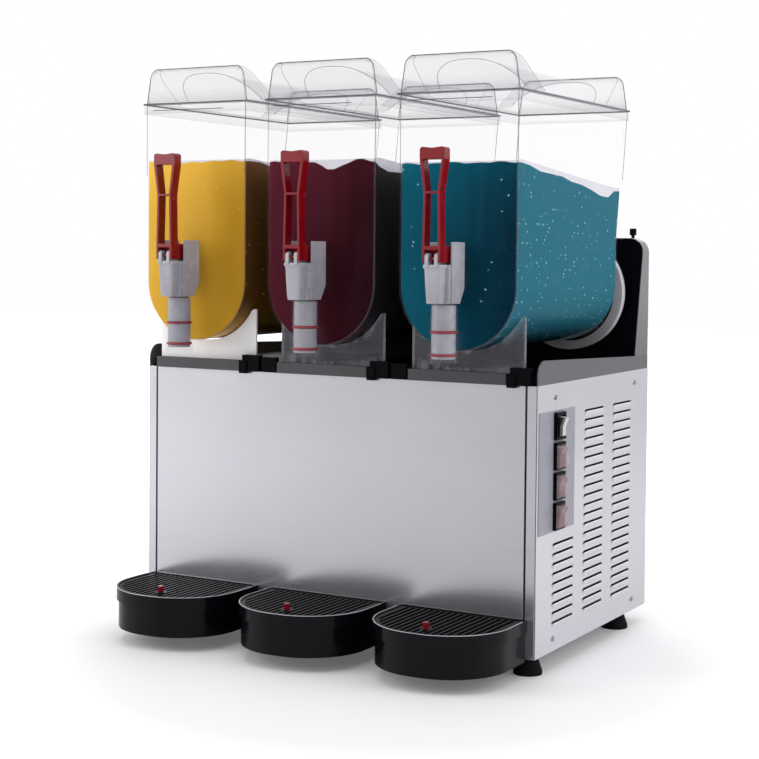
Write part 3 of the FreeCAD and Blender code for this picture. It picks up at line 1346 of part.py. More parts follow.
pocket(switch_frame, "XZ", switch_middle + " - %s - rocker_pin_reach" % recess_wide, pin_span,
       ("circle", "plate_x", top_level, "rocker_pin_radius + running_clearance"))
frames = [switch_frame] + [shifted("switch_frame_%d" % step, switch_frame, z="-%d * switch_pitch" % step)
                           for step in (1, 2, 3)]
pieces["switch_frames"] = group("switch_frames", frames)


# Rockers: the white main switch and three red ones, each tilted on its own two pins
rocker_wide = "(%s - rocker_gap)" % recess_wide
for number, (name, level) in enumerate(zip(("rocker_main", "rocker_1", "rocker_2", "rocker_3"),
                                           switch_levels)):
    rocker = new_body(name)
    pad(rocker, "XZ", "-" + rocker_wide, "2 * " + rocker_wide,
        [("-rocker_back", "-rocker_half_height"), ("rocker_crest", "-rocker_half_height"),
         ("rocker_dip", "0"), ("rocker_crest", "rocker_half_height"),
         ("-rocker_back", "rocker_half_height")])
    pin_half = "(%s + rocker_pin_reach - rocker_gap / 2)" % recess_wide
    pad(rocker, "XZ", "-" + pin_half, "2 * " + pin_half, ("circle", "0", "0", "rocker_pin_radius"))
    tilt = FreeCAD.Rotation(FreeCAD.Vector(0, 1, 0), value("rocker_tilt"))
    place(rocker, "plate_x", switch_middle, level, tilt)
    rocker.setExpression("Placement.Rotation.Angle", formula("rocker_tilt"))
    pieces[name] = rocker


# Compressor: hermetic steel can on a round foot in the pan
can_place = ("compressor_x", "front_y + compressor_y")
can_foot = rod("compressor_foot", "compressor_foot_radius", "compressor_stand",
               can_place + ("pan_z + seam_gap",))
can = rod("compressor_can", "compressor_radius", "compressor_height - compressor_dome",
          can_place + ("pan_z + seam_gap + compressor_stand",))
dome = cone("compressor_dome", "compressor_radius", "compressor_radius - compressor_dome", "compressor_dome",
            can_place + ("pan_z + seam_gap + compressor_stand + compressor_height - compressor_dome",))
pieces["compressor"] = fuse("compressor", [can_foot, can, dome])


# Condenser: tubes through a row of upright fins behind the rear louvres
coil_foot = "pan_z + seam_gap"
fins = []
for i in range(int(value("coil_fin_count"))):
    fin_x = "coil_x + (%d - (coil_fin_count - 1) / 2) * coil_fin_pitch" % i
    fins.append(box("coil_fin_%d" % i,
                    (fin_x + " - coil_fin / 2", "front_y + coil_front_y", coil_foot),
                    (fin_x + " + coil_fin / 2", "front_y + coil_back_y", coil_foot + " + coil_height")))
tubes = []
for i in range(int(value("coil_rows"))):
    level = "%s + (%d + 0.5) * coil_height / coil_rows" % (coil_foot, i)
    tubes.append(rod("coil_tube_%d" % i, "coil_tube_radius", "2 * coil_half",
                     ("coil_x - coil_half", "front_y + (coil_front_y + coil_back_y) / 2", level), X_TO_Z))
pieces["condenser"] = fuse("condenser", fins + tubes)


# Fan motor: round motor on a stand in the pan
motor_back = "front_y + fan_y - fan_hub_length / 2 - fan_motor_gap"
fan_can = rod("fan_can", "fan_motor_radius", "fan_motor_length",
              ("coil_x", motor_back + " - fan_motor_length", "fan_z"), Y_TO_Z)
stand = box("fan_stand",
            ("coil_x - fan_stand_half", motor_back + " - (fan_motor_length + fan_stand_wall) / 2",
             "pan_z + seam_gap"),
            ("coil_x + fan_stand_half", motor_back + " - (fan_motor_length - fan_stand_wall) / 2", "fan_z"))
fan_bore = rod("fan_bore", "fan_shaft_radius + running_clearance", "fan_shaft_tail + 2",
               ("coil_x", motor_back + " - fan_shaft_tail - 2", "fan_z"), Y_TO_Z)
pieces["fan_motor"] = cut("fan_motor", fuse("fan_motor_form", [fan_can, stand]), fan_bore)


# Fan blade: a hub with pitched blades on a shaft into the motor
fan_hub = rod("fan_hub", "fan_hub_radius", "fan_hub_length",
              ("coil_x", "front_y + fan_y - fan_hub_length / 2", "fan_z"), Y_TO_Z)
fan_shaft = rod("fan_shaft", "fan_shaft_radius", "fan_shaft_tail + fan_motor_gap + fan_hub_length / 2",
                ("coil_x", motor_back + " - fan_shaft_tail", "fan_z"), Y_TO_Z)
blade_form = box("fan_blade_form", ("fan_hub_radius - 4", "-fan_blade_depth / 2", "-fan_blade_wall / 2"),
                 ("fan_radius", "fan_blade_depth / 2", "fan_blade_wall / 2"))
pitched = shifted("fan_blade_pitched", blade_form,
                  rotation=FreeCAD.Rotation(FreeCAD.Vector(1, 0, 0), value("fan_blade_pitch")))
blade_count = int(value("fan_blade_count"))
fan_blades = [shifted("fan_blade_%d" % i, pitched, "coil_x", "front_y + fan_y", "fan_z",
                      FreeCAD.Rotation(FreeCAD.Vector(0, 1, 0), 360 * i / blade_count))
              for i in range(blade_count)]
pieces["fan_blade"] = fuse("fan_blade", [fan_hub, fan_shaft] + fan_blades)


# Check of every object and every sub-part, then one STEP file for each sub-part
document.recompute()
for thing in document.Objects:
    if "Invalid" in thing.State or "Error" in thing.State:
        raise RuntimeError("%s is %s" % (thing.Name, thing.State))
for name, piece in pieces.items():
    piece.Label = name
    if piece.Shape.isNull() or not piece.Shape.isValid():
        raise RuntimeError("%s has no valid shape" % name)
os.makedirs("parts", exist_ok=True)
for name, piece in pieces.items():
    piece.Shape.exportStep("parts/%s.step" % name)
    print("%-18s %2d solids %12.1f mm3" % (name, len(piece.Shape.Solids), piece.Shape.Volume))
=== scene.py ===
"""Slush machine with three clear bowls: its finishes and fine pieces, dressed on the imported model."""
import math

import bmesh
import bpy
import numpy as np
from mathutils import Matrix


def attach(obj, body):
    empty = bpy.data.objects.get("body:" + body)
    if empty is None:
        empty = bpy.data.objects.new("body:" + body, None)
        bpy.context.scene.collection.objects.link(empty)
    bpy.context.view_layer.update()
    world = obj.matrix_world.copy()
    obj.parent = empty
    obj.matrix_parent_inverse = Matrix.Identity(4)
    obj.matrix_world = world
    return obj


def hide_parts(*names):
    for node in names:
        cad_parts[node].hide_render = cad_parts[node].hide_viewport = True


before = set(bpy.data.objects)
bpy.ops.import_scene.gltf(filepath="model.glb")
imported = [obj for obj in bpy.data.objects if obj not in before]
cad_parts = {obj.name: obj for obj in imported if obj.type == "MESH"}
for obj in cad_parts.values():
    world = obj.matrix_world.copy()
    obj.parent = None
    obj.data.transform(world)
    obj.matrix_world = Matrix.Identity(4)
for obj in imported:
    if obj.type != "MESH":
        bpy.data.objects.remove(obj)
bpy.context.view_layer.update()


# Room. A white sweep that the machine stands on, one wide soft lamp at the left of the front,
# a weaker one at the right and one overhead. The camera stands 2.4 m off at the height of the
# bowls and looks a little down at the machine's front right corner.
ROOM = bpy.context.scene
ROOM.view_settings.view_transform = "Standard"
ROOM.cycles.transparent_max_bounces = 40
ROOM.cycles.max_bounces = 16


class Signal:
    """A value in a material's node tree. Sums, products and comparisons of signals add Math nodes."""

    def __init__(self, tree, socket=None):
        self.tree, self.socket = tree, socket

    def node(self, kind, sockets=(), out=0, **settings):
        """Any node: its settings first, then its sockets."""
        made = self.tree.nodes.new("ShaderNode" + kind)
        for name, value in settings.items():
            setattr(made, name, value)
        for name, value in dict(sockets).items():
            self.feed(made.inputs[name], value)
        return Signal(self.tree, made.outputs[out])

    def feed(self, socket, value):
        """Links a signal to a socket, or writes a number, a vector or a colour on it."""
        if isinstance(value, Signal):
            self.tree.links.new(value.socket, socket)
        elif isinstance(value, tuple) and len(value) == 3 and socket.type == "RGBA":
            socket.default_value = value + (1.0,)
        else:
            socket.default_value = value

    def maths(self, operation, *terms):
        """A Math node over signals and numbers."""
        return self.node("Math", dict(enumerate(terms)), operation=operation)

    def __add__(self, other): return self.maths("ADD", self, other)
    def __sub__(self, other): return self.maths("SUBTRACT", self, other)
    def __rsub__(self, other): return self.maths("SUBTRACT", other, self)
    def __mul__(self, other): return self.maths("MULTIPLY", self, other)
    def __pow__(self, other): return self.maths("POWER", self, other)
    def __gt__(self, other): return self.maths("GREATER_THAN", self, other)

    def clamped(self, low, high):
        """Rises from 0 to 1, evenly, as the value goes from low to high."""
        return self.node("MapRange", {"Value": self, "From Min": low, "From Max": high})

    def between(self, dark, light):
        """A colour that goes from dark to light as the value goes from 0 to 1."""
        return self.node("Mix", {0: self, 6: dark, 7: light}, out=2, data_type="RGBA")

    def noise(self, scale, detail=3.0, roughness=0.5, stretch=(1, 1, 1)):
        """Soft cloudy values about 0.5, from a place whose axes are stretched first."""
        place = self.node("Mapping", {"Vector": self, "Scale": stretch})
        return self.node("TexNoise", {"Vector": place, "Scale": scale, "Detail": detail,
                                      "Roughness": roughness})

    def axis(self, letter):
        """One coordinate of a place."""
        return self.node("SeparateXYZ", {"Vector": self}, out="XYZ".index(letter))


def finish(name, **numbers):
    """A material with one shader. Numbers that are the same all over stand on the shader's own
    sockets. Gives the material, a function that feeds a socket, and the place in object space."""
    material = bpy.data.materials.new(name)
    material.use_nodes = True
    tree = material.node_tree
    shader = tree.nodes["Principled BSDF"]
    start = Signal(tree)
    for socket, value in numbers.items():
        start.feed(shader.inputs[socket.replace("_", " ")], value)

    def feed(socket, value):
        start.feed(shader.inputs[socket], value)

    return material, feed, start.node("TexCoord", out="Object")


def mottled(name, scale, detail, dark, light, spread, roughness, **numbers):
    """A finish whose colour wanders between two shades, with a roughness that follows it. Gives
    what finish gives, and the cloud that both follow."""
    material, feed, place = finish(name, **numbers)
    cloud = place.noise(scale, detail)
    feed("Base Color", cloud.between(dark, light))
    feed("Roughness", cloud * spread + roughness)
    return material, feed, place, cloud


def bumped(height, strength, distance, edge=0.0007):
    """A surface direction that follows a height, given in metres of full relief, with the sharp
    edges of the form rounded to a radius."""
    rounded = height.node("Bevel", {"Radius": edge}, samples=4)
    return height.node("Bump", {"Height": height, "Strength": strength, "Distance": distance,
                                "Normal": rounded})


def dress(material, *names):
    """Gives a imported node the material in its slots."""
    for name in names:
        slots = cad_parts[name].data.materials
        for number in range(len(slots)):
            slots[number] = material


floor_mesh = bpy.data.meshes.new("sweep")
floor_mesh.from_pydata([(-9, -9, 0), (9, -9, 0), (9, 9, 0), (-9, 9, 0)], [], [(0, 1, 2, 3)])
SHADE_CENTRE = (0.10, -0.15, 0.0)
sweep = bpy.data.objects.new("sweep", floor_mesh)
ROOM.collection.objects.link(sweep)
sweep_white, feed, place = finish("sweep_white", Base_Color=(0.82, 0.82, 0.83), Roughness=0.55,
                                  Emission_Strength=1.0)
# The sweep glows white for the camera away from a point just in front of the machine and less near it:
# a painted pool of shade round the machine's foot.
seen = place.node("LightPath", out="Is Camera Ray")
far = place.node("VectorMath", {0: place, 1: SHADE_CENTRE}, operation="DISTANCE", out="Value")
far = far.clamped(0.38, 1.0)
feed("Emission Color", (seen * (far * 0.90 + 0.10)).between((0.0, 0.0, 0.0), (1.0, 1.0, 1.0)))
floor_mesh.materials.append(sweep_white)

world = bpy.data.worlds.new("studio")
world.use_nodes = True
ROOM.world = world
air = Signal(world.node_tree)
rays = [air.node("LightPath", out=ray) for ray in
        ("Is Camera Ray", "Is Glossy Ray", "Is Transmission Ray")]
shown = air.maths("MAXIMUM", rays[0], air.maths("MAXIMUM", rays[1], rays[2]))
ground = world.node_tree.nodes["Background"]
air.feed(ground.inputs["Color"], shown.between((0.55, 0.55, 0.56), (1.0, 1.0, 1.0)))


def lamp(name, at, towards, width, height, power):
    """A rectangular soft lamp that faces a point."""
    light = bpy.data.lights.new(name, "AREA")
    light.shape, light.size, light.size_y, light.energy = "RECTANGLE", width, height, power
    held = bpy.data.objects.new(name, light)
    ahead = np.array(towards, float) - at
    ahead /= np.linalg.norm(ahead)
    across = np.cross(ahead, (0, 0, 1))
    across /= np.linalg.norm(across)
    held.matrix_world = axes(at, across, np.cross(across, ahead), -ahead)
    ROOM.collection.objects.link(held)


def axes(at, x, y, z):
    """A placing from three axes and a point."""
    grid = np.eye(4)
    grid[:3, 0], grid[:3, 1], grid[:3, 2], grid[:3, 3] = x, y, z, at
    return Matrix(grid.tolist())


lamp("lamp_left", (-2.3, -1.9, 1.5), (0, 0, 0.45), 1.6, 2.2, 40)
lamp("lamp_right", (2.6, 0.2, 1.3), (0, 0, 0.35), 1.4, 2.0, 24)
lamp("lamp_top", (0.1, -0.2, 2.6), (0, 0, 0.3), 2.2, 2.2, 24)

PHOTO_SIZE, FOCAL_LENGTH, LEVEL_ROW, SENSOR = 759, 1640.73, 303.3, 36.0
turn, pitch, roll = math.radians(29.54), math.radians(1.96), math.radians(0.51)
ahead = np.array([-math.sin(turn) * math.cos(pitch), math.cos(turn) * math.cos(pitch),
                  -math.sin(pitch)])
right = np.array([math.cos(turn), math.sin(turn), 0.0])
up = np.cross(right, ahead)
camera = bpy.data.cameras.new("camera")
camera.sensor_width, camera.lens = SENSOR, FOCAL_LENGTH / PHOTO_SIZE * SENSOR
camera.shift_y = (LEVEL_ROW - PHOTO_SIZE / 2) / PHOTO_SIZE
eye = bpy.data.objects.new("camera", camera)
eye.matrix_world = axes((1.16374, -2.05295, 0.55291), right * math.cos(roll) + up * math.sin(roll),
                        up * math.cos(roll) - right * math.sin(roll), -ahead)
ROOM.collection.objects.link(eye)
ROOM.camera = eye


# Stainless body. The base pan, the panels and the column's hood are thin brushed sheet, folded and
# screwed together. The brush lines run along the sheet. Painted light and shade make it lighter
# towards the top and the left, lighter on the side panels and paler still on the pressed lips of
# their louvres, and darker on the hood's sides.
SIDE_PANEL_X, LOUVRE_LIP_X, COVER_SIDE_X, COVER_FOOT_Z = 0.30903, 0.31010, 0.3, 0.3815
brushed, feed, place = finish("brushed_stainless", Metallic=0.82)
lines = place.noise(9.0, 4.0, 0.6, (1.0, 1.0, 90.0))
smears = place.noise(4.0, 2.0)
outward = place.axis("X") ** 2.0
upwards = place.axis("Z").clamped(0.03, 0.36)
leftwards = place.axis("X").clamped(0.36, -0.30)
side_panel, louvre_lip = outward > SIDE_PANEL_X ** 2, outward > LOUVRE_LIP_X ** 2
cover_side = (place.axis("Z") > COVER_FOOT_Z) * (outward > COVER_SIDE_X ** 2)
# Painted light and shade: top and left, side panels, louvre lips, and the hood's sides darker.
lift = (upwards * 0.26 + leftwards * 0.22 + side_panel * 0.48 + louvre_lip * 0.3
        - cover_side * 1.1 + 0.21)
feed("Base Color", (lines * 0.16 + smears * 0.1 + lift).between((0.20, 0.195, 0.215),
                                                                (0.80, 0.78, 0.83)))
feed("Roughness", lines * 0.06 + smears * 0.05 + 0.16)
feed("Normal", bumped(lines, 0.06, 0.0002))
dress(brushed, "base_pan", "front_posts", "front_panel", "side_panel_left", "side_panel_right",
      "rear_panel", "column_cover", "evaporators")

bright = mottled("bright_steel", 700.0, 3.0, (0.10, 0.10, 0.11), (0.50, 0.50, 0.53), 0.1, 0.06,
                 Metallic=1.0)[0]
dress(bright, "panel_screws")


# Black mouldings. The deck, the bowl latches, the column's leaning front, the cable gland, the
# knobs and the switch housings are black plastic, dulled by a fine spark-eroded grain. The skirts
# on the side panels and the gutters are a greyer plastic, and the feet are rubber.
moulded, feed, place = finish("black_moulding", Specular_IOR_Level=0.04)
grain = place.noise(900.0, 2.0)
patches = place.noise(14.0, 3.0)
feed("Base Color", patches.between((0.001, 0.001, 0.002), (0.004, 0.004, 0.006)))
feed("Roughness", grain * 0.12 + patches * 0.12 + 0.24)
feed("Normal", bumped(grain, 0.25, 0.0002))
dress(moulded, "deck", "bowl_latches", "column_front", "cable_gland", "thumb_knobs",
      "switch_frames")

SKIRT_FACE_X = 0.3066
skirt_grey, feed, place = finish("grey_skirt")
grain = place.noise(800.0, 2.0)
patches = place.noise(10.0, 3.0)
# Painted light: the skirts' outward side faces are lighter, as light falls on the machine's sides.
sides = (place.axis("X") ** 2.0 > SKIRT_FACE_X ** 2) * 0.7
feed("Base Color", (patches * 0.4 + sides).between((0.022, 0.021, 0.025), (0.11, 0.107, 0.12)))
feed("Roughness", grain * 0.15 + 0.34)
feed("Normal", bumped(grain, 0.2, 0.0002, 0.0010))
dress(skirt_grey, "deck_skirts", "drip_gutters")

rubber, feed, place, _ = mottled("black_rubber", 60.0, 4.0, (0.003, 0.003, 0.003),
                                 (0.009, 0.009, 0.009), 0.2, 0.6, Specular_IOR_Level=0.06)
feed("Normal", bumped(place.noise(500.0, 2.0), 0.3, 0.0003))
dress(rubber, "feet")


# Works inside the body and the column. The compressor and the fan are painted black, the motors
# are grey, and the coil behind the rear louvres is bare aluminium.
paint = mottled("black_paint", 30.0, 4.0, (0.012, 0.012, 0.012), (0.035, 0.035, 0.036), 0.2,
                0.25)[0]
dress(paint, "compressor", "fan_motor", "fan_blade")
motor_paint = mottled("motor_paint", 45.0, 4.0, (0.15, 0.16, 0.17), (0.24, 0.25, 0.26), 0.2,
                      0.35)[0]
dress(motor_paint, "gear_motors")
fins = mottled("coil_aluminium", 40.0, 5.0, (0.45, 0.46, 0.47), (0.72, 0.73, 0.74), 0.3, 0.3,
               Metallic=1.0)[0]
dress(fins, "condenser")


# Bowls. Each is one clear moulding with a round bottom, rounded front corners, a leaning rear wall
# with a port for the cooling drum, an apron plate under its belly and the tube of the tap in front.
# Painted dark lines stand only at its bends and rims, where light runs along the wall.
BAYS = (-0.2075, 0.0, 0.2075)
BAY_NUMBERS = (1, 2, 3)
LINE_RADIUS, TAP_Y, RAIL_X = 0.0004, -0.1996, 0.01705


def in_bays(*parts):
    """The names of parts that each of the three bays has."""
    return ["%s_%d" % (part, number) for part in parts for number in BAY_NUMBERS]


def grid_faces(rows, columns, first=0):
    """Quads of a grid of points, numbered row by row from a first point."""
    corner = first + np.arange(rows - 1)[:, None] * columns + np.arange(columns - 1)
    return np.stack([corner, corner + 1, corner + columns + 1, corner + columns], -1).reshape(-1, 4)


def build(name, sheets, material, body, slot, nodes=(), smooth=35, closed=True, marks=None):
    """One mesh from grids of points. Points that meet are merged, flat scraps go, and the faces of
    a closed form are turned outwards. Marks are values for each point of each sheet, in order."""
    points, faces, first = [], [], 0
    for sheet in sheets:
        rows, columns = sheet.shape[:2]
        points.append(sheet.reshape(-1, 3))
        faces.append(grid_faces(rows, columns, first))
        first += rows * columns
    mesh = bpy.data.meshes.new(name)
    mesh.from_pydata(np.concatenate(points).tolist(), [], np.concatenate(faces).tolist())
    if marks is not None:
        layer = mesh.attributes.new("bend", "FLOAT", "POINT")
        layer.data.foreach_set("value", np.concatenate([m.ravel() for m in marks]).astype(np.float32))
    work = bmesh.new()
    work.from_mesh(mesh)
    bmesh.ops.remove_doubles(work, verts=work.verts, dist=2e-6)
    bmesh.ops.dissolve_degenerate(work, edges=work.edges, dist=1e-6)
    if closed:
        bmesh.ops.recalc_face_normals(work, faces=work.faces)
    work.to_mesh(mesh)
    work.free()
    mesh.shade_smooth()
    mesh.set_sharp_from_angle(angle=math.radians(smooth))
    mesh.materials.append(material)
    piece = bpy.data.objects.new(name, mesh)
    ROOM.collection.objects.link(piece)
    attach(piece, body)
    if nodes:
        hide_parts(*nodes)
    return piece


def ruled(one, other, shares):
    """Rows of points that go straight from one row to the other at the given shares."""
    shares = np.asarray(shares, float)[:, None, None]
    return one[None] * (1 - shares) + other[None] * shares


def lathe(x, y, profile, steps=64):
    """A surface turned about an upright line: profile rows are (radius, height)."""
    angle = np.linspace(0, 2 * np.pi, steps + 1)
    radius, height = np.array(profile, float).T
    return np.stack([x + radius[:, None] * np.cos(angle), y + radius[:, None] * np.sin(angle),
                     np.repeat(height[:, None], steps + 1, 1)], -1)


def block(low, high):
    """The six sides of an upright box, as grids."""
    x, y, z = zip(low, high)

    def side(u, v, make):
        return np.array([[make(a, b) for a in u] for b in v], float)

    return [side(x, y, lambda a, b: (a, b, z[0])), side(x, y, lambda a, b: (a, b, z[1])),
            side(x, z, lambda a, b: (a, y[0], b)), side(x, z, lambda a, b: (a, y[1], b)),
            side(y, z, lambda a, b: (x[0], a, b)), side(y, z, lambda a, b: (x[1], a, b))]


def wire(path, radius, aside, steps=6):
    """A round bead along a path, closed at its ends. Aside is a direction the path never takes."""
    path = np.array(path, float)
    along = np.gradient(path, axis=0)
    one = np.cross(along, aside)
    one /= np.linalg.norm(one, axis=1)[:, None]
    two = np.cross(along, one)
    two /= np.linalg.norm(two, axis=1)[:, None]
    angle = np.linspace(0, 2 * np.pi, steps + 1)[:, None]
    tube = path[:, None] + radius * (np.cos(angle) * one[:, None] + np.sin(angle) * two[:, None])
    ends = [np.repeat(path[[end]][:, None], steps + 1, 1) for end in (0, -1)]
    return np.concatenate([ends[0], tube, ends[1]])


BELLY_Z, BOWL_HALF, BOWL_FRONT, BOWL_TOP = 0.5036, 0.086, -0.165, 0.7525
AXIS_Z, PORT_RADIUS, WAIST_Z, REAR_Y, REAR_LEAN = 0.489, 0.0684, 0.566, 0.180, 0.030
SIDE_SHARES = np.array([1.0, 0.994, 0.985, 0.9, 0.75, 0.6, 0.45, 0.35,
                        (WAIST_Z - BELLY_Z) / (BOWL_TOP - BELLY_Z), 0.12, 0.0])
FACE_SHARES = np.array([0, 0.04, 0.1, 0.2, 0.32, 0.45, 0.6, 0.75, 0.88, 1.0])
TOP_SHARES = np.concatenate([FACE_SHARES / 2, 1 - FACE_SHARES[::-1][1:] / 2])


def rear_wall(z, inset):
    """Where the rear wall stands: upright to the waist, then leaning back up to the rim."""
    return REAR_Y - inset + REAR_LEAN * np.clip((z - WAIST_Z) / (BOWL_TOP - WAIST_Z), 0, 1)


def across(half, left_top, right_top):
    """The outline across a bowl: down one side, round the belly and up the other side."""
    turn = np.linspace(np.pi, 2 * np.pi, 49)[1:-1]
    sides = [BELLY_Z + SIDE_SHARES * (top - BELLY_Z) for top in (left_top, right_top)]
    x = np.concatenate([np.full(len(SIDE_SHARES), -half), half * np.cos(turn),
                        np.full(len(SIDE_SHARES), half)])
    return x, np.concatenate([sides[0], BELLY_Z + half * np.sin(turn), sides[1][::-1]])


def trough(bay, inset, corner, level, port):
    """The skin of a tub: front face, rounded front edge, sides with belly, and a rear wall that
    runs to a round port. Level gives the height of the open top over a place. Gives the grids,
    their marks, and the rows along the sides, the brow, the back and the port."""
    half, front = BOWL_HALF - inset, BOWL_FRONT + inset
    rows, marks = [], []
    for bend in np.linspace(0, np.pi / 2, 9):
        width = half - corner * (1 - math.sin(bend))
        y = front + corner * (1 - math.cos(bend))
        x, z = across(width, level(-width, y), level(width, y))
        rows.append(np.stack([x + bay, np.full_like(x, y), z], -1))
        marks.append(np.full(len(x), math.sin(2 * bend) ** 2))
    start = front + corner
    for share in (0.03, 0.1, 0.2, 0.3, 0.4, 0.5, 0.6, 0.7, 0.8, 0.88, 0.94, 0.985, 1.0):
        flat = start + share * (rear_wall(BOWL_TOP, inset) - start)
        x, z = across(half, level(-half, flat), level(half, flat))
        rows.append(np.stack([x + bay, start + share * (rear_wall(z, inset) - start), z], -1))
        marks.append(np.full(len(x), 1.0 if share == 1.0 else 0.0))
    shell = np.array(rows)
    x, y, z = shell[0].T
    spine = np.stack([np.full_like(x, bay), y, np.maximum(z, BELLY_Z)], -1)
    face = ruled(shell[0], spine, FACE_SHARES)
    tops = len(SIDE_SHARES)
    for side, shares in ((slice(0, tops), SIDE_SHARES), (slice(-tops, None), SIDE_SHARES[::-1])):
        high = level(face[:, side, 0] - bay, front)
        face[:, side, 2] = BELLY_Z + shares * (high - BELLY_Z)
    outline = shell[-1]
    back = outline[:1] * (1 - TOP_SHARES[:, None]) + outline[-1:] * TOP_SHARES[:, None]
    back[1:-1, 2] = level(back[1:-1, 0] - bay, back[1:-1, 1])
    loop = np.concatenate([outline, back[::-1][1:]])
    angle = np.arctan2(loop[:, 2] - AXIS_Z, loop[:, 0] - bay)
    hole = np.stack([bay + port * np.cos(angle), 0 * angle, AXIS_Z + port * np.sin(angle)], -1)
    rear = ruled(hole, loop, (0, 0.12, 0.25, 0.4, 0.55, 0.7, 0.85, 0.98, 1.0))
    rear[:-1, :, 1] = rear_wall(rear[:-1, :, 2], inset)
    return {"grids": [shell, face, rear],
            "marks": [np.array(marks), np.zeros(face.shape[:2]), np.zeros(rear.shape[:2])],
            "sides": [shell[:, 0], shell[:, -1]], "port": rear[0], "back": back,
            "brow": np.concatenate([face[:, 0], face[::-1, -1][1:]])}


def clear_finish(name, tint, bend, face_share, slant_share, bend_share):
    """A see-through moulding. Its face hides only a small share of what is behind, more where it
    is seen at a slant; the marked bends carry painted grey lines, where light runs along the wall."""
    material, feed, place = finish(name, IOR=1.46)
    bent = place.node("Attribute", out="Fac", attribute_name="bend")
    slant = place.node("LayerWeight", {"Blend": 0.3}, out="Fresnel")
    haze = place.noise(22.0, 3.0)
    feed("Base Color", bent.between(tint, bend))
    feed("Roughness", haze * 0.04 + 0.03)
    feed("Alpha", (bent ** 2.0) * bend_share + slant * slant_share + (haze + 0.5) * face_share)
    return material


clear = clear_finish("clear_bowl", (0.52, 0.51, 0.58), (0.26, 0.25, 0.30), 0.0035, 0.02, 0.14)
# Painted dark lines: thin grey beads laid along clear edges, where light runs along the wall.
dark_edge_line, feed, _, cloud = mottled("painted_edge_line", 30.0, 3.0, (0.03, 0.03, 0.04),
                                     (0.10, 0.10, 0.13), 0.1, 0.1, IOR=1.46)
feed("Alpha", cloud * 0.5 + 0.45)
for bay, number in zip(BAYS, BAY_NUMBERS):
    outer, inner = [trough(bay, inset, corner, lambda x, y: BOWL_TOP + 0 * x, PORT_RADIUS)
                    for inset, corner in ((0.0, 0.004), (0.002, 0.002))]
    sheets, marks = outer["grids"] + inner["grids"], outer["marks"] + inner["marks"]
    for one, other in zip(*(part["sides"] + [part["brow"], part["back"], part["port"]]
                            for part in (outer, inner))):
        sheets.append(np.array([one, other]))
        marks.append(np.ones(sheets[-1].shape[:2]))
    build("bowl_shell_%d" % number, sheets, clear, "machine", "clear_plastic", ["bowl_%d" % number],
          marks=marks)
    # Dark beads round the rim and down the front corners: painted dark lines at the clear edges.
    rim = np.concatenate([outer["sides"][0], outer["back"][1:-1], outer["sides"][1][::-1],
                          outer["brow"][::-1][1:]])
    edges = [wire(rim, LINE_RADIUS, (0, 0, 1))]
    edges += [wire(row[part], LINE_RADIUS, (0, 1, 0)) for row in outer["grids"][0][[4, -1]]
              for part in (slice(0, 6), slice(-6, None))]
    build("bowl_edges_%d" % number, edges, dark_edge_line, "machine", "clear_plastic")
    collar = lathe(0, 0, [(PORT_RADIUS, 0.1800), (0.0720, 0.1800), (0.0720, 0.2098),
                          (0.0712, 0.2100), (PORT_RADIUS, 0.2100), (PORT_RADIUS, 0.1800)])
    collar = np.stack([collar[..., 0] + bay, collar[..., 2], collar[..., 1] + AXIS_Z], -1)
    build("bowl_collar_%d" % number, [collar], clear, "machine", "clear_plastic",
          marks=[np.full(collar.shape[:2], 0.3)])
    tube = lathe(bay, TAP_Y, [(0.0176, 0.4060), (0.0182, 0.4055), (0.0192, 0.4055), (0.0198, 0.4062),
                              (0.0198, 0.4485), (0.0188, 0.4497), (0.0188, 0.4794), (0.0184, 0.4800),
                              (0.0180, 0.4800), (0.0176, 0.4796), (0.0176, 0.4060)], 72)
    glint = np.zeros(tube.shape[:2])
    glint[[0, 1, 2, 3, 5, 7, 8, 9, 10]] = 0.55
    rails = [block((bay + side * RAIL_X - 0.003, -0.1779, 0.494),
                   (bay + side * RAIL_X + 0.003, -0.1645, 0.544)) for side in (-1, 1)]
    duct = [block((bay + low, -0.183, 0.4230), (bay + high, -0.1645, 0.4457))
            for low, high in ((-0.012, -0.0095), (0.0095, 0.012))]
    build("tap_tube_%d" % number, [tube], clear, "machine", "clear_plastic", marks=[glint])
    small = [face for part in rails + duct for face in part]
    build("bowl_rails_%d" % number, small, clear, "machine", "clear_plastic",
          marks=[np.full(face.shape[:2], 0.15) for face in small])


# Aprons. A clear plate stands under each bowl's belly, in one moulding with it. It reaches down to
# the gutter and carries a painted grey veil of light, strongest along its upright edges. The left
# one carries a painted glare, as it stands square to the light, and is nearly white.
veiled, feed, place = finish("clear_apron", IOR=1.46)
haze = place.noise(30.0, 3.0, 0.5, (1.0, 1.0, 0.4))
bent = place.node("Attribute", out="Fac", attribute_name="bend")
glare = place.axis("X").clamped(-0.115, -0.124)
feed("Base Color", (haze * 0.3 + glare).between((0.36, 0.355, 0.40), (0.98, 0.98, 1.00)))
feed("Roughness", haze * 0.1 + 0.10)
feed("Alpha", haze * 0.05 + bent * 0.3 + glare + 0.08)
PLATE_HALF, PLATE_FOOT, PLATE_TOP = 0.0825, 0.3913, 0.464
plate_x = np.linspace(-PLATE_HALF, PLATE_HALF, 45)
belly = BELLY_Z - np.sqrt(np.clip(BOWL_HALF ** 2 - plate_x ** 2, 0, None)) + 0.001
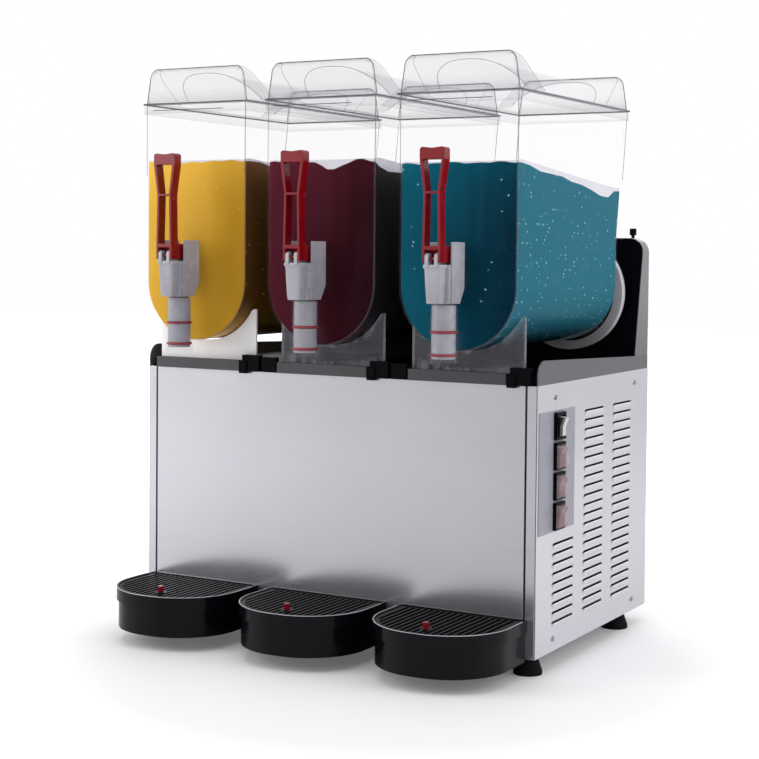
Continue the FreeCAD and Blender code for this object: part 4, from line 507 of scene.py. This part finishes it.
for bay, number in zip(BAYS, BAY_NUMBERS):
    faces = []
    for y in (-0.130, -0.127):
        low = np.stack([plate_x + bay, 0 * plate_x + y, 0 * plate_x + PLATE_FOOT], -1)
        high = low.copy()
        high[:, 2] = np.minimum(belly, PLATE_TOP)
        faces.append(ruled(low, high, (0.0, 0.25, 0.5, 0.75, 1.0)))
    front, back = faces
    rims = [np.array([front[0], back[0]]), np.array([front[-1], back[-1]]),
            np.array([front[:, 0], back[:, 0]]), np.array([front[:, -1], back[:, -1]])]
    edge_marks = np.zeros(front.shape[:2])
    edge_marks[:, [0, -1]] = 1.0
    build("bowl_apron_%d" % number, [front, back] + rims, veiled, "machine", "clear_plastic",
          marks=[edge_marks, edge_marks] + [np.ones(rim.shape[:2]) for rim in rims])


# Slush. Frozen drink, coloured through, that fills each bowl round the auger's path. Its top has
# settled towards the back, with lumps, and pale froth clings to the walls above it.
def slush_finish(name, bay, deep, pale, flank, speck, amount, gloss):
    """Coloured ice: cloudy between two colours, paler near its top, and paler towards its left as
    painted light from the left. The wall in front of it shines in its colour. Its right flank has a
    colour of its own, a painted shade where a next bowl shadows it, and most of the crystals."""
    material, feed, place = finish(name, IOR=1.28, Specular_IOR_Level=0.28, Specular_Tint=gloss)
    clouds = place.noise(16.0, 4.0)
    # The right flank: it takes a painted shade where the next bowl shadows it.
    right = (place.axis("X") - bay).clamped(0.03, 0.08) * place.axis("Y").clamped(-0.1615, -0.1595)
    grains = place.node("TexVoronoi", {"Vector": place, "Scale": 200.0}, feature="F1")
    chance = place.node("TexVoronoi", {"Vector": place, "Scale": 200.0}, out="Color")
    picked = chance.axis("Z") > 1.0 - (right * amount * 2.2 + amount * 0.5)
    specks = (chance.axis("Y") * 0.15 + 0.15 > grains) * picked * (chance.axis("X") * 0.5 + 0.5)
    upper = place.axis("Z").clamped(0.52, 0.67) ** 3.0
    # Painted light: paler towards the left, where the light comes from.
    left = (place.axis("X") - bay).clamped(0.075, -0.085)
    ice = (clouds * 0.25 + upper * 0.35 + left * 0.6 - 0.1).between(deep, pale)
    feed("Base Color", specks.between(right.between(ice, flank), speck))
    feed("Roughness", clouds * 0.04 + right * 0.45 + 0.05)
    return material


def settled(fill, lumps):
    """The height of the drink's top over a place in a bowl: level in front, falling to a dip near
    the back, with lumps given as (x, y, reach, height)."""
    def level(x, y):
        slope = fill + np.interp(y, (-0.165, -0.158, 0.152, 0.183), (0.662, 0.662, 0.627, 0.636))
        ripple = 0.0009 * np.sin(x * 190.0 + y * 61.0) + 0.0007 * np.sin(y * 230.0 - x * 87.0)
        heap = sum(high * np.exp(-((x - at) ** 2 + (y - back) ** 2) / reach ** 2)
                   for at, back, reach, high in lumps)
        return slope + ripple + heap
    return level


froth, feed, _, cloud = mottled("ice_froth", 260.0, 3.0, (0.66, 0.65, 0.70), (0.84, 0.83, 0.88),
                                0.3, 0.35, IOR=1.31, Specular_IOR_Level=0.2)
feed("Normal", bumped(cloud, 0.5, 0.001))
SLUSH_INSET, SLUSH_CORNER, SLUSH_PORT, BORE_END_Y = 0.0024, 0.0022, 0.0671, -0.1359
# Each drink: name, deep and pale colour, flank (a painted shade where the next bowl stands),
# crystals and their amount, shine, fill, lumps
drinks = (
    ("yellow_slush", (0.46, 0.240, 0.011), (1.00, 0.59, 0.075), (0.11, 0.040, 0.001),
     (0.85, 0.66, 0.20), 0.02, (1.0, 0.62, 0.12), 0.009,
     ((-0.02, -0.165, 0.024, -0.002), (0.03, -0.165, 0.02, 0.001), (0.083, -0.1, 0.03, 0.004))),
    ("red_slush", (0.012, 0.0006, 0.002), (0.110, 0.012, 0.026), (0.002, 0.0001, 0.0004),
     (0.20, 0.03, 0.05), 0.02, (0.70, 0.14, 0.28), 0.006,
     ((0.017, -0.165, 0.022, -0.011), (0.067, -0.165, 0.018, 0.002), (0.085, -0.135, 0.020, -0.014),
      (0.085, -0.09, 0.03, -0.004), (-0.05, -0.05, 0.05, 0.006))),
    ("blue_slush", (0.0002, 0.016, 0.034), (0.0020, 0.130, 0.200), (0.0005, 0.128, 0.185),
     (0.55, 0.88, 0.95), 0.07, (0.05, 0.70, 1.0), 0.0,
     ((0.0, -0.1, 0.04, 0.004), (0.084, 0.160, 0.014, -0.004), (0.084, 0.02, 0.07, 0.0035))))
for bay, number, (name, deep, pale, flank, speck, amount, gloss, fill, lumps) in zip(
        BAYS, BAY_NUMBERS, drinks):
    slush = slush_finish(name, bay, deep, pale, flank, speck, amount, gloss)
    level = settled(fill, lumps)
    skin = trough(bay, SLUSH_INSET, SLUSH_CORNER, level, SLUSH_PORT)
    left, right = skin["sides"]
    top = ruled(left, right, TOP_SHARES).transpose(1, 0, 2)
    top[..., 2] = level(top[..., 0] - bay, top[..., 1])
    top[0], top[-1], top[:, 0], top[:, -1] = skin["brow"], skin["back"], left, right
    bore_end = skin["port"] * (1, 0, 1) + (0, BORE_END_Y, 0)
    hub = np.repeat(np.array([[bay, BORE_END_Y, AXIS_Z]]), len(bore_end), 0)
    build(name, skin["grids"] + [top, ruled(skin["port"], bore_end, (0, 0.5, 1)),
                                 ruled(bore_end, hub, (0, 0.5, 1))],
          slush, "machine", name, ["slush_%d" % number], smooth=50)
    wall = np.concatenate([left[::-1][:-1], skin["brow"], right[1:]])
    along = np.gradient(wall[:, :2], axis=0)
    along /= np.linalg.norm(along, axis=1)[:, None]
    inward = np.stack([-along[:, 1], along[:, 0], 0 * along[:, 0]], -1)
    brim = fill + np.interp(wall[:, 1], (-0.165, -0.15, 0.152, 0.183), (0.6635, 0.666, 0.642, 0.641))
    brim = np.maximum(brim, wall[:, 2] + 0.001)
    # The froth's outline: how far in from the wall, what share of the way to the brim, how much over
    ring = []
    for reach, share, lift in ((0.0002, 0, -0.0005), (0.0002, 1, 0), (0.0018, 1, 0.0004),
                               (0.0045, 0.5, 0), (0.008, 0, -0.0008), (0.0002, 0, -0.0005)):
        row = wall + inward * reach
        foot = level(row[:, 0] - bay, row[:, 1]) if reach > 0.001 else wall[:, 2]
        row[:, 2] = foot + share * (brim - foot) + lift
        ring.append(row)
    ring = np.array(ring)
    ends = [ruled(ring[:, end], np.repeat(ring[:, end].mean(0)[None], len(ring), 0), (0, 1))
            for end in (0, -1)]
    build("froth_%d" % number, [ring] + ends, froth, "machine", name, smooth=60)


# Lids. Thin clear covers pressed from one sheet: a skirt and a flange round the bowl's rim, a crown
# that rises steeply at both ends, and a ridge between two hollows where fingers lift the lid.
lid_clear = clear_finish("clear_lid", (0.40, 0.40, 0.47), (0.05, 0.05, 0.07), 0.014, 0.12, 0.85)
EDGE_STEPS = np.array([0, 0, 0, 0.5, 1.2, 2.0, 3.6, 4.0, 4.15, 4.4, 4.8, 5.3, 5.9, 6.6, 7.6, 9.0,
                       10.8, 13, 15.5, 18.5, 22, 26]) / 1000
SKIRT_DROP, WALL_FOOT, PLAN_CORNER = 0.015, 0.004, 0.005
SIDE_WALL, END_WALL = (0.005, 0.017), (0.0015, 0.0045)
ARCH_HEIGHT, ARCH_HALF, BROW_IN, LIP_Z = 0.0395, 0.064, 0.0066, 0.7447
RIM_LINE, LIP_LINE, BROW_LINE, RIDGE_LINE, FLANK_LINE = 0.0011, 0.0006, 0.0007, 0.00035, 0.00025
LID_HALF, LID_FRONT, LID_REAR, FLANGE_Z, CROWN = 0.0897, -0.1687, 0.2137, 0.7548, 0.0497


def spread(low, high, gap):
    """Places from low to high: close together near both ends, evenly spaced between them."""
    middle = np.arange(low + EDGE_STEPS[-1], high - EDGE_STEPS[-1], gap)[1:]
    return np.concatenate([low + EDGE_STEPS, middle, (high - EDGE_STEPS)[::-1]])


def wall_rise(inward, draft, bend):
    """Height of the crown's wall at a distance in from the rim: flange, steep wall, then an arc."""
    straight = CROWN - bend
    turn = np.clip((inward - WALL_FOOT - draft) / bend, 0, 1)
    steep = np.clip((inward - WALL_FOOT) / draft, 0, 1) * straight
    arc = straight + bend * np.sqrt(1 - (1 - turn) ** 2)
    return np.where(inward < WALL_FOOT + draft, steep, arc)


def arch_rise(x):
    """Height of the ridge between the finger hollows at a distance from the lid's middle."""
    return 0.003 + ARCH_HEIGHT * np.clip(1 - np.abs(x / ARCH_HALF) ** 2.5, 0, None) ** 0.5


lid_x, lid_y = spread(-LID_HALF, LID_HALF, 0.003), spread(LID_FRONT, LID_REAR, 0.004)
drops = [np.zeros(len(line)) for line in (lid_y, lid_x)]
for drop in drops:
    drop[[0, -1]], drop[[1, -2]] = SKIRT_DROP, 0.0020
drop = np.maximum(drops[0][:, None], drops[1])
FLANK = ((0.012, 0.017, 0.05, 0.083, 0.09), (CROWN, 0.0485, 0.0255, 0.0045, 0.003))
# Paths of the painted dark lines along the lid's bends: the brow at each end, the flanks of the
# hollows and the ridge
LINE_TOP = 0.0484
inward = np.linspace(WALL_FOOT, 0.026, 60)
brow_x = np.concatenate([inward - LID_HALF, (LID_HALF - inward)[::-1]])
brow_z = np.minimum(wall_rise(LID_HALF - np.abs(brow_x), *SIDE_WALL), LINE_TOP)
flank_end = np.linspace(0.0068, 0.086, 40)
flank_z = np.minimum(np.interp(flank_end, *FLANK), LINE_TOP)
flank_side = np.interp(flank_z, wall_rise(inward, *SIDE_WALL), inward)
arch_x = 0.0638 * np.sin(np.linspace(-np.pi / 2, np.pi / 2, 61))
arch_z = arch_rise(arch_x)
arch_end = np.interp(arch_z, FLANK[1][::-1], FLANK[0][::-1])
corner = np.linspace(0, np.pi / 2, 7)[:, None]
rim_loop = []
for hand, depth, start in ((1, LID_REAR, 0), (-1, LID_REAR, 1), (-1, LID_FRONT, 2),
                           (1, LID_FRONT, 3)):
    spin = corner + start * np.pi / 2
    back = PLAN_CORNER * np.sign(depth)
    rim_loop.append(np.hstack([hand * (LID_HALF - PLAN_CORNER) + PLAN_CORNER * np.cos(spin),
                               depth - back + PLAN_CORNER * np.sin(spin), 0 * spin]))
rim_loop = np.concatenate(rim_loop + [rim_loop[0][:1]])
for bay, number in zip(BAYS, BAY_NUMBERS):
    x, y = np.meshgrid(lid_x, lid_y)
    side = LID_HALF - np.abs(x)
    end = np.minimum(y - LID_FRONT, LID_REAR - y)
    side_rise, end_rise = wall_rise(side, *SIDE_WALL), wall_rise(end, *END_WALL)
    flank = np.interp(end, *FLANK)
    inner = np.maximum(flank, arch_rise(x))
    rise = np.minimum(np.minimum(side_rise, end_rise), inner)
    height = FLANGE_Z + rise - drop
    dx, dy = np.clip(PLAN_CORNER - side, 0, None), np.clip(PLAN_CORNER - end, 0, None)
    pull = np.maximum(dx, dy) / np.maximum(np.hypot(dx, dy), 1e-9)
    round_x = np.where((dx > 0) & (dy > 0), dx * pull, dx) - dx
    round_y = np.where((dx > 0) & (dy > 0), dy * pull, dy) - dy
    plan_x = x + np.sign(x) * round_x
    plan_y = y + np.sign(y - (LID_FRONT + LID_REAR) / 2) * round_y
    # Bend marks: painted dark lines at the crown's mitres, the wall's foot and the skirt.
    mitre = np.exp(-((side_rise - end_rise) / 0.004) ** 2) * (rise > 0.002) * (end < 0.012)
    foot = np.exp(-((np.minimum(side, end) - WALL_FOOT) / 0.0006) ** 2)
    bend = np.maximum.reduce([mitre * 0.5, foot * 0.45, 0.2 * (drop > 0.01)])
    lid = build("lid_shell_%d" % number, [np.stack([plan_x + bay, plan_y, height], -1)], lid_clear,
                "lid_%d" % number, "clear_plastic", ["lid_%d" % number], closed=False, marks=[bend],
                smooth=50)
    sheet = lid.modifiers.new("sheet", "SOLIDIFY")
    sheet.thickness, sheet.offset = 0.002, -1.0
    # Thin dark beads round the rim, along the lip and on the bends: painted dark lines where light runs
    # along the clear sheet.
    edges = [wire(rim_loop + (bay, 0, FLANGE_Z - 0.0010), RIM_LINE, (0, 0, 1)),
             wire([(bay + x, LID_FRONT, LIP_Z) for x in (-0.070, 0, 0.050)], LIP_LINE, (0, 0, 1))]
    for pole, inwards in ((LID_FRONT, 1), (LID_REAR, -1)):
        edges.append(wire(np.stack([brow_x + bay, 0 * brow_x + pole + inwards * BROW_IN,
                                    FLANGE_Z + brow_z], -1), BROW_LINE, (0, 1, 0)))
        edges.append(wire(np.stack([arch_x + bay, pole + inwards * arch_end,
                                    FLANGE_Z + arch_z], -1), RIDGE_LINE, (0, 1, 0)))
        for hand in (-1, 1):
            edges.append(wire(np.stack([bay + hand * (LID_HALF - flank_side),
                                        pole + inwards * flank_end, FLANGE_Z + flank_z], -1),
                              FLANK_LINE, (1, 0, 0)))
    build("lid_edges_%d" % number, edges, dark_edge_line, "lid_%d" % number, "clear_plastic")


# Taps. White nylon cups with two cheeks are fixed on the bowls' rails and guide a white piston.
# The red lever turns on a pin in the cup's prongs and lifts the piston, and two red rings seal it.
# The augers in the bowls are of the same nylon.
white, feed, place = finish("white_nylon", Specular_IOR_Level=0.35)
cloud = place.noise(40.0, 3.0)
# Painted light: lighter towards the top, where more light falls, over a random mottle.
shade = place.axis("Z").clamped(0.46, 0.57) * 0.4 + cloud * 0.6
feed("Base Color", shade.between((0.29, 0.28, 0.32), (0.52, 0.51, 0.56)))
feed("Roughness", cloud * 0.15 + 0.20)
feed("Normal", bumped(place.noise(400.0, 2.0), 0.1, 0.0002, 0.0008))
dress(white, *in_bays("auger", "tap_piston"))


def prism(outline, low, high):
    """A slab whose outline of (y, z) runs from one x to another, with both ends."""
    edge = np.array(outline + outline[:1], float)
    rings = [np.insert(edge, 0, x, 1) for x in (low, high)]
    return [np.array(rings)] + [np.array([ring, np.repeat(ring[:-1].mean(0)[None], len(ring), 0)])
                                for ring in rings]


def boxy(half, front, back, height):
    """A level loop with rounded corners, from one side to the other and from front to back."""
    angle = np.linspace(0, 2 * np.pi, 49)
    x, y = np.cos(angle), np.sin(angle)
    return np.stack([half * np.sign(x) * np.abs(x) ** 0.4,
                     (front + back) / 2 + (back - front) / 2 * np.sign(y) * np.abs(y) ** 0.4,
                     0 * x + height], -1)


CUP_STEP, CUP_BACK, CUP_FOOT, CUP_RIM = -0.2180, -0.2157, 0.4820, 0.5315
housing = [boxy(0.0001, -0.2242, -0.2240, CUP_FOOT)]
housing += [boxy(half, front, CUP_BACK, height) for half, front, height in (
    (0.0088, -0.2300, CUP_FOOT), (0.0098, -0.2310, 0.4830), (0.0106, -0.2318, 0.4900),
    (0.0111, -0.2324, 0.5000), (0.0118, -0.2330, 0.5120), (0.0122, -0.2334, 0.5240),
    (0.0128, -0.2340, 0.5266), (0.0139, -0.2349, 0.5274), (0.0140, -0.2350, 0.5306),
    (0.0136, -0.2346, CUP_RIM), (0.0100, -0.2310, CUP_RIM), (0.0096, -0.2306, 0.5308),
    (0.0096, -0.2306, 0.5100), (0.0001, -0.2242, 0.5100))]
arc = np.linspace(0, np.pi, 13)
prong = [(-0.2260, 0.5290)] + [(-0.2310 + 0.005 * math.cos(a), 0.5411 + 0.005 * math.sin(a))
                               for a in arc] + [(-0.2360, 0.5290)]
cheek = [(-0.2130, 0.4822), (-0.1905, CUP_FOOT), (-0.1790, 0.5000), (-0.1782, 0.5040),
         (-0.1782, 0.5590), (-0.1790, 0.5600), (-0.2122, 0.5600), (-0.2130, 0.5592)]
cups = []
for bay in BAYS:
    cups += [np.array(housing) + (bay, 0, 0)]
    cups += block((bay - 0.0159, CUP_STEP, 0.4821), (bay + 0.0159, CUP_BACK, 0.5314))
    for hand in (-1, 1):
        cups += prism(prong, bay + hand * 0.0042, bay + hand * 0.0092)
        cups += block((bay + hand * 0.015 - 0.001, -0.2170, 0.4822),
                      (bay + hand * 0.015 + 0.001, -0.2125, 0.5313))
        cups += prism(cheek, bay + hand * 0.0159, bay + hand * 0.0182)
build("tap_cup_shells", cups, white, "machine", "white_plastic", ["tap_cups"], smooth=30)

red, feed, _, cloud = mottled("red_moulding", 35.0, 3.0, (0.17, 0.0008, 0.004),
                              (0.27, 0.002, 0.009), 0.15, 0.18, Specular_IOR_Level=0.4)
feed("Normal", bumped(cloud, 0.05, 0.0005, 0.0013))
dress(red, *in_bays("tap_lever", "tray_float"))
seal_red = mottled("red_rubber", 90.0, 3.0, (0.20, 0.002, 0.010), (0.30, 0.004, 0.018), 0.2,
                   0.4)[0]
dress(seal_red, *in_bays("piston_seals"))


# Gaskets. A pale rubber ring goes round each bowl's collar, pressed between the bowl and its seat
# on the column. Its edge shows behind the bowl.
# Painted shade: its grey is darker than white rubber, as the ring sits in the bowls' shadow.
gasket = mottled("white_rubber", 70.0, 3.0, (0.42, 0.42, 0.44), (0.54, 0.54, 0.56), 0.2, 0.5,
                 Specular_IOR_Level=0.3)[0]
dress(gasket, "bowl_gaskets")


# Trays. Three glossy black basins hang on the front panel, each with a slotted grille let into its
# top. A thin grey bead round the nose of the rim is a painted highlight, where light catches it.
tray_black, feed, place, _ = mottled("black_gloss", 16.0, 4.0, (0.001, 0.001, 0.002),
                                     (0.004, 0.004, 0.006), 0.14, 0.10, Specular_IOR_Level=0.12)
feed("Normal", bumped(place.noise(30.0, 2.0), 0.05, 0.001))
dress(tray_black, *in_bays("drip_tray"))
rim_highlight = mottled("lit_bead", 18.0, 3.0, (0.16, 0.16, 0.18), (0.62, 0.62, 0.66), 0.1, 0.2,
                    Specular_IOR_Level=0.3)[0]
BEAD_Z, NOSE_RADIUS, NOSE_SHIFT, NOSE_Y = 0.0753, 0.0856, 0.006, -0.191
angle = np.linspace(np.pi, 2 * np.pi, 49)
nose = np.stack([np.sign(np.cos(angle)) * NOSE_SHIFT + NOSE_RADIUS * np.cos(angle),
                 NOSE_Y + NOSE_RADIUS * np.sin(angle), 0 * angle + BEAD_Z], -1)
nose = np.concatenate([[(-NOSE_RADIUS - NOSE_SHIFT, -0.150, BEAD_Z)], nose,
                       [(NOSE_RADIUS + NOSE_SHIFT, -0.150, BEAD_Z)]])
for bay, number in zip(BAYS, BAY_NUMBERS):
    build("tray_bead_%d" % number, [wire(nose + (bay, 0, 0), 0.0006, (0, 0, 1))], rim_highlight,
          "drip_tray_%d" % number, "black_gloss_plastic")
grille_black, feed, _, cloud = mottled("grille_black", 24.0, 4.0, (0.003, 0.003, 0.003),
                                       (0.010, 0.010, 0.011), 0.14, 0.22, Specular_IOR_Level=0.02)
feed("Normal", bumped(cloud, 0.05, 0.0003, 0.0005))
dress(grille_black, *in_bays("drip_grille"))


# Switches. A main rocker, half black and half white, stands over three red ones on the right side
# panel. Clear rubber boots keep the drink off the red rockers, and a thin legend plate lies behind.
legend = mottled("legend_plate", 60.0, 3.0, (0.26, 0.26, 0.30), (0.34, 0.34, 0.39), 0.2, 0.25)[0]
dress(legend, "switch_plate")
two_tone, feed, place = finish("two_tone_rocker", Specular_IOR_Level=0.4)
half = place.axis("Y").clamped(-0.0705, -0.0697)
feed("Base Color", half.between((0.010, 0.010, 0.011), (0.62, 0.62, 0.64)))
feed("Roughness", place.noise(80.0, 2.0) * 0.1 + 0.2)
feed("Normal", bumped(half, 0.02, 0.0002))
dress(two_tone, "rocker_main")
dark_red, feed, _, cloud = mottled("dark_red_rocker", 80.0, 2.0, (0.06, 0.001, 0.004),
                                   (0.12, 0.003, 0.010), 0.1, 0.2, Specular_IOR_Level=0.4)
feed("Normal", bumped(cloud, 0.02, 0.0002))
dress(dark_red, *in_bays("rocker"))
boot, feed, _, cloud = mottled("boot_rubber", 120.0, 3.0, (0.52, 0.36, 0.40),
                               (0.86, 0.74, 0.78), 0.1, 0.14, IOR=1.42)
feed("Alpha", cloud * 0.24 + 0.06)
share = np.sin(np.linspace(-np.pi / 2, np.pi / 2, 21))
over, along = np.meshgrid(share, share)
swell = 0.0078 * np.sqrt(np.clip((1 - over ** 6) * (1 - along ** 4), 0, None))
BOOT_X, BOOT_Y, BOOT_HEIGHTS = 0.3159, -0.069, (0.281, 0.2415, 0.202)
for height, number in zip(BOOT_HEIGHTS, BAY_NUMBERS):
    dome = np.stack([BOOT_X + swell, BOOT_Y + 0.0146 * over, height + 0.0150 * along], -1)
    hood = build("switch_boot_%d" % number, [dome], boot, "machine", "clear_plastic", closed=False)
    skin = hood.modifiers.new("skin", "SOLIDIFY")
    skin.thickness, skin.offset = 0.0006, 1.0


# Shade backings. A black sheet stands a little inside each side panel, behind the louvres: painted
# shade that makes their slots look dark.
dark_backing = mottled("painted_shade_sheet", 400.0, 4.0, (0.003, 0.003, 0.003), (0.012, 0.012, 0.012), 0.2, 0.7,
               Specular_IOR_Level=0.1)[0]
BACKING_X, BACKING_HALF = 0.2825, 0.0004
for side, name in ((-1, "shade_backing_left"), (1, "shade_backing_right")):
    build(name, block((side * BACKING_X - BACKING_HALF, -0.112, 0.0496),
                      (side * BACKING_X + BACKING_HALF, 0.263, 0.372)), dark_backing, "machine", "black_plastic")


# Louvre beads. The lip of each louvre, pressed out of the side panels' own sheet, carries a bright
# bead: a painted highlight where the lip catches the light. There is a short column of them in front
# and two long ones behind.
bright_lip = mottled("painted_lip_highlight", 60.0, 2.0, (0.80, 0.79, 0.82), (0.95, 0.94, 0.97), 0.1, 0.2,
                 Metallic=1.0)[0]
LIP_X, FIRST_ROW_Z, ROW_PITCH, LIP_LENGTH = 0.3119, 0.0607, 0.0129, 0.060
COLUMNS = ((-0.0798, 9), (0.0244, 22), (0.1286, 22))
for side, name in ((-1, "louvre_beads_left"), (1, "louvre_beads_right")):
    beads = [wire([(side * LIP_X, first + part * LIP_LENGTH, FIRST_ROW_Z + ROW_PITCH * row)
                   for part in (0, 0.5, 1)], 0.0008, (0, 0, 1))
             for first, rows in COLUMNS for row in range(rows)]
    build(name, beads, bright_lip, "machine", "stainless")
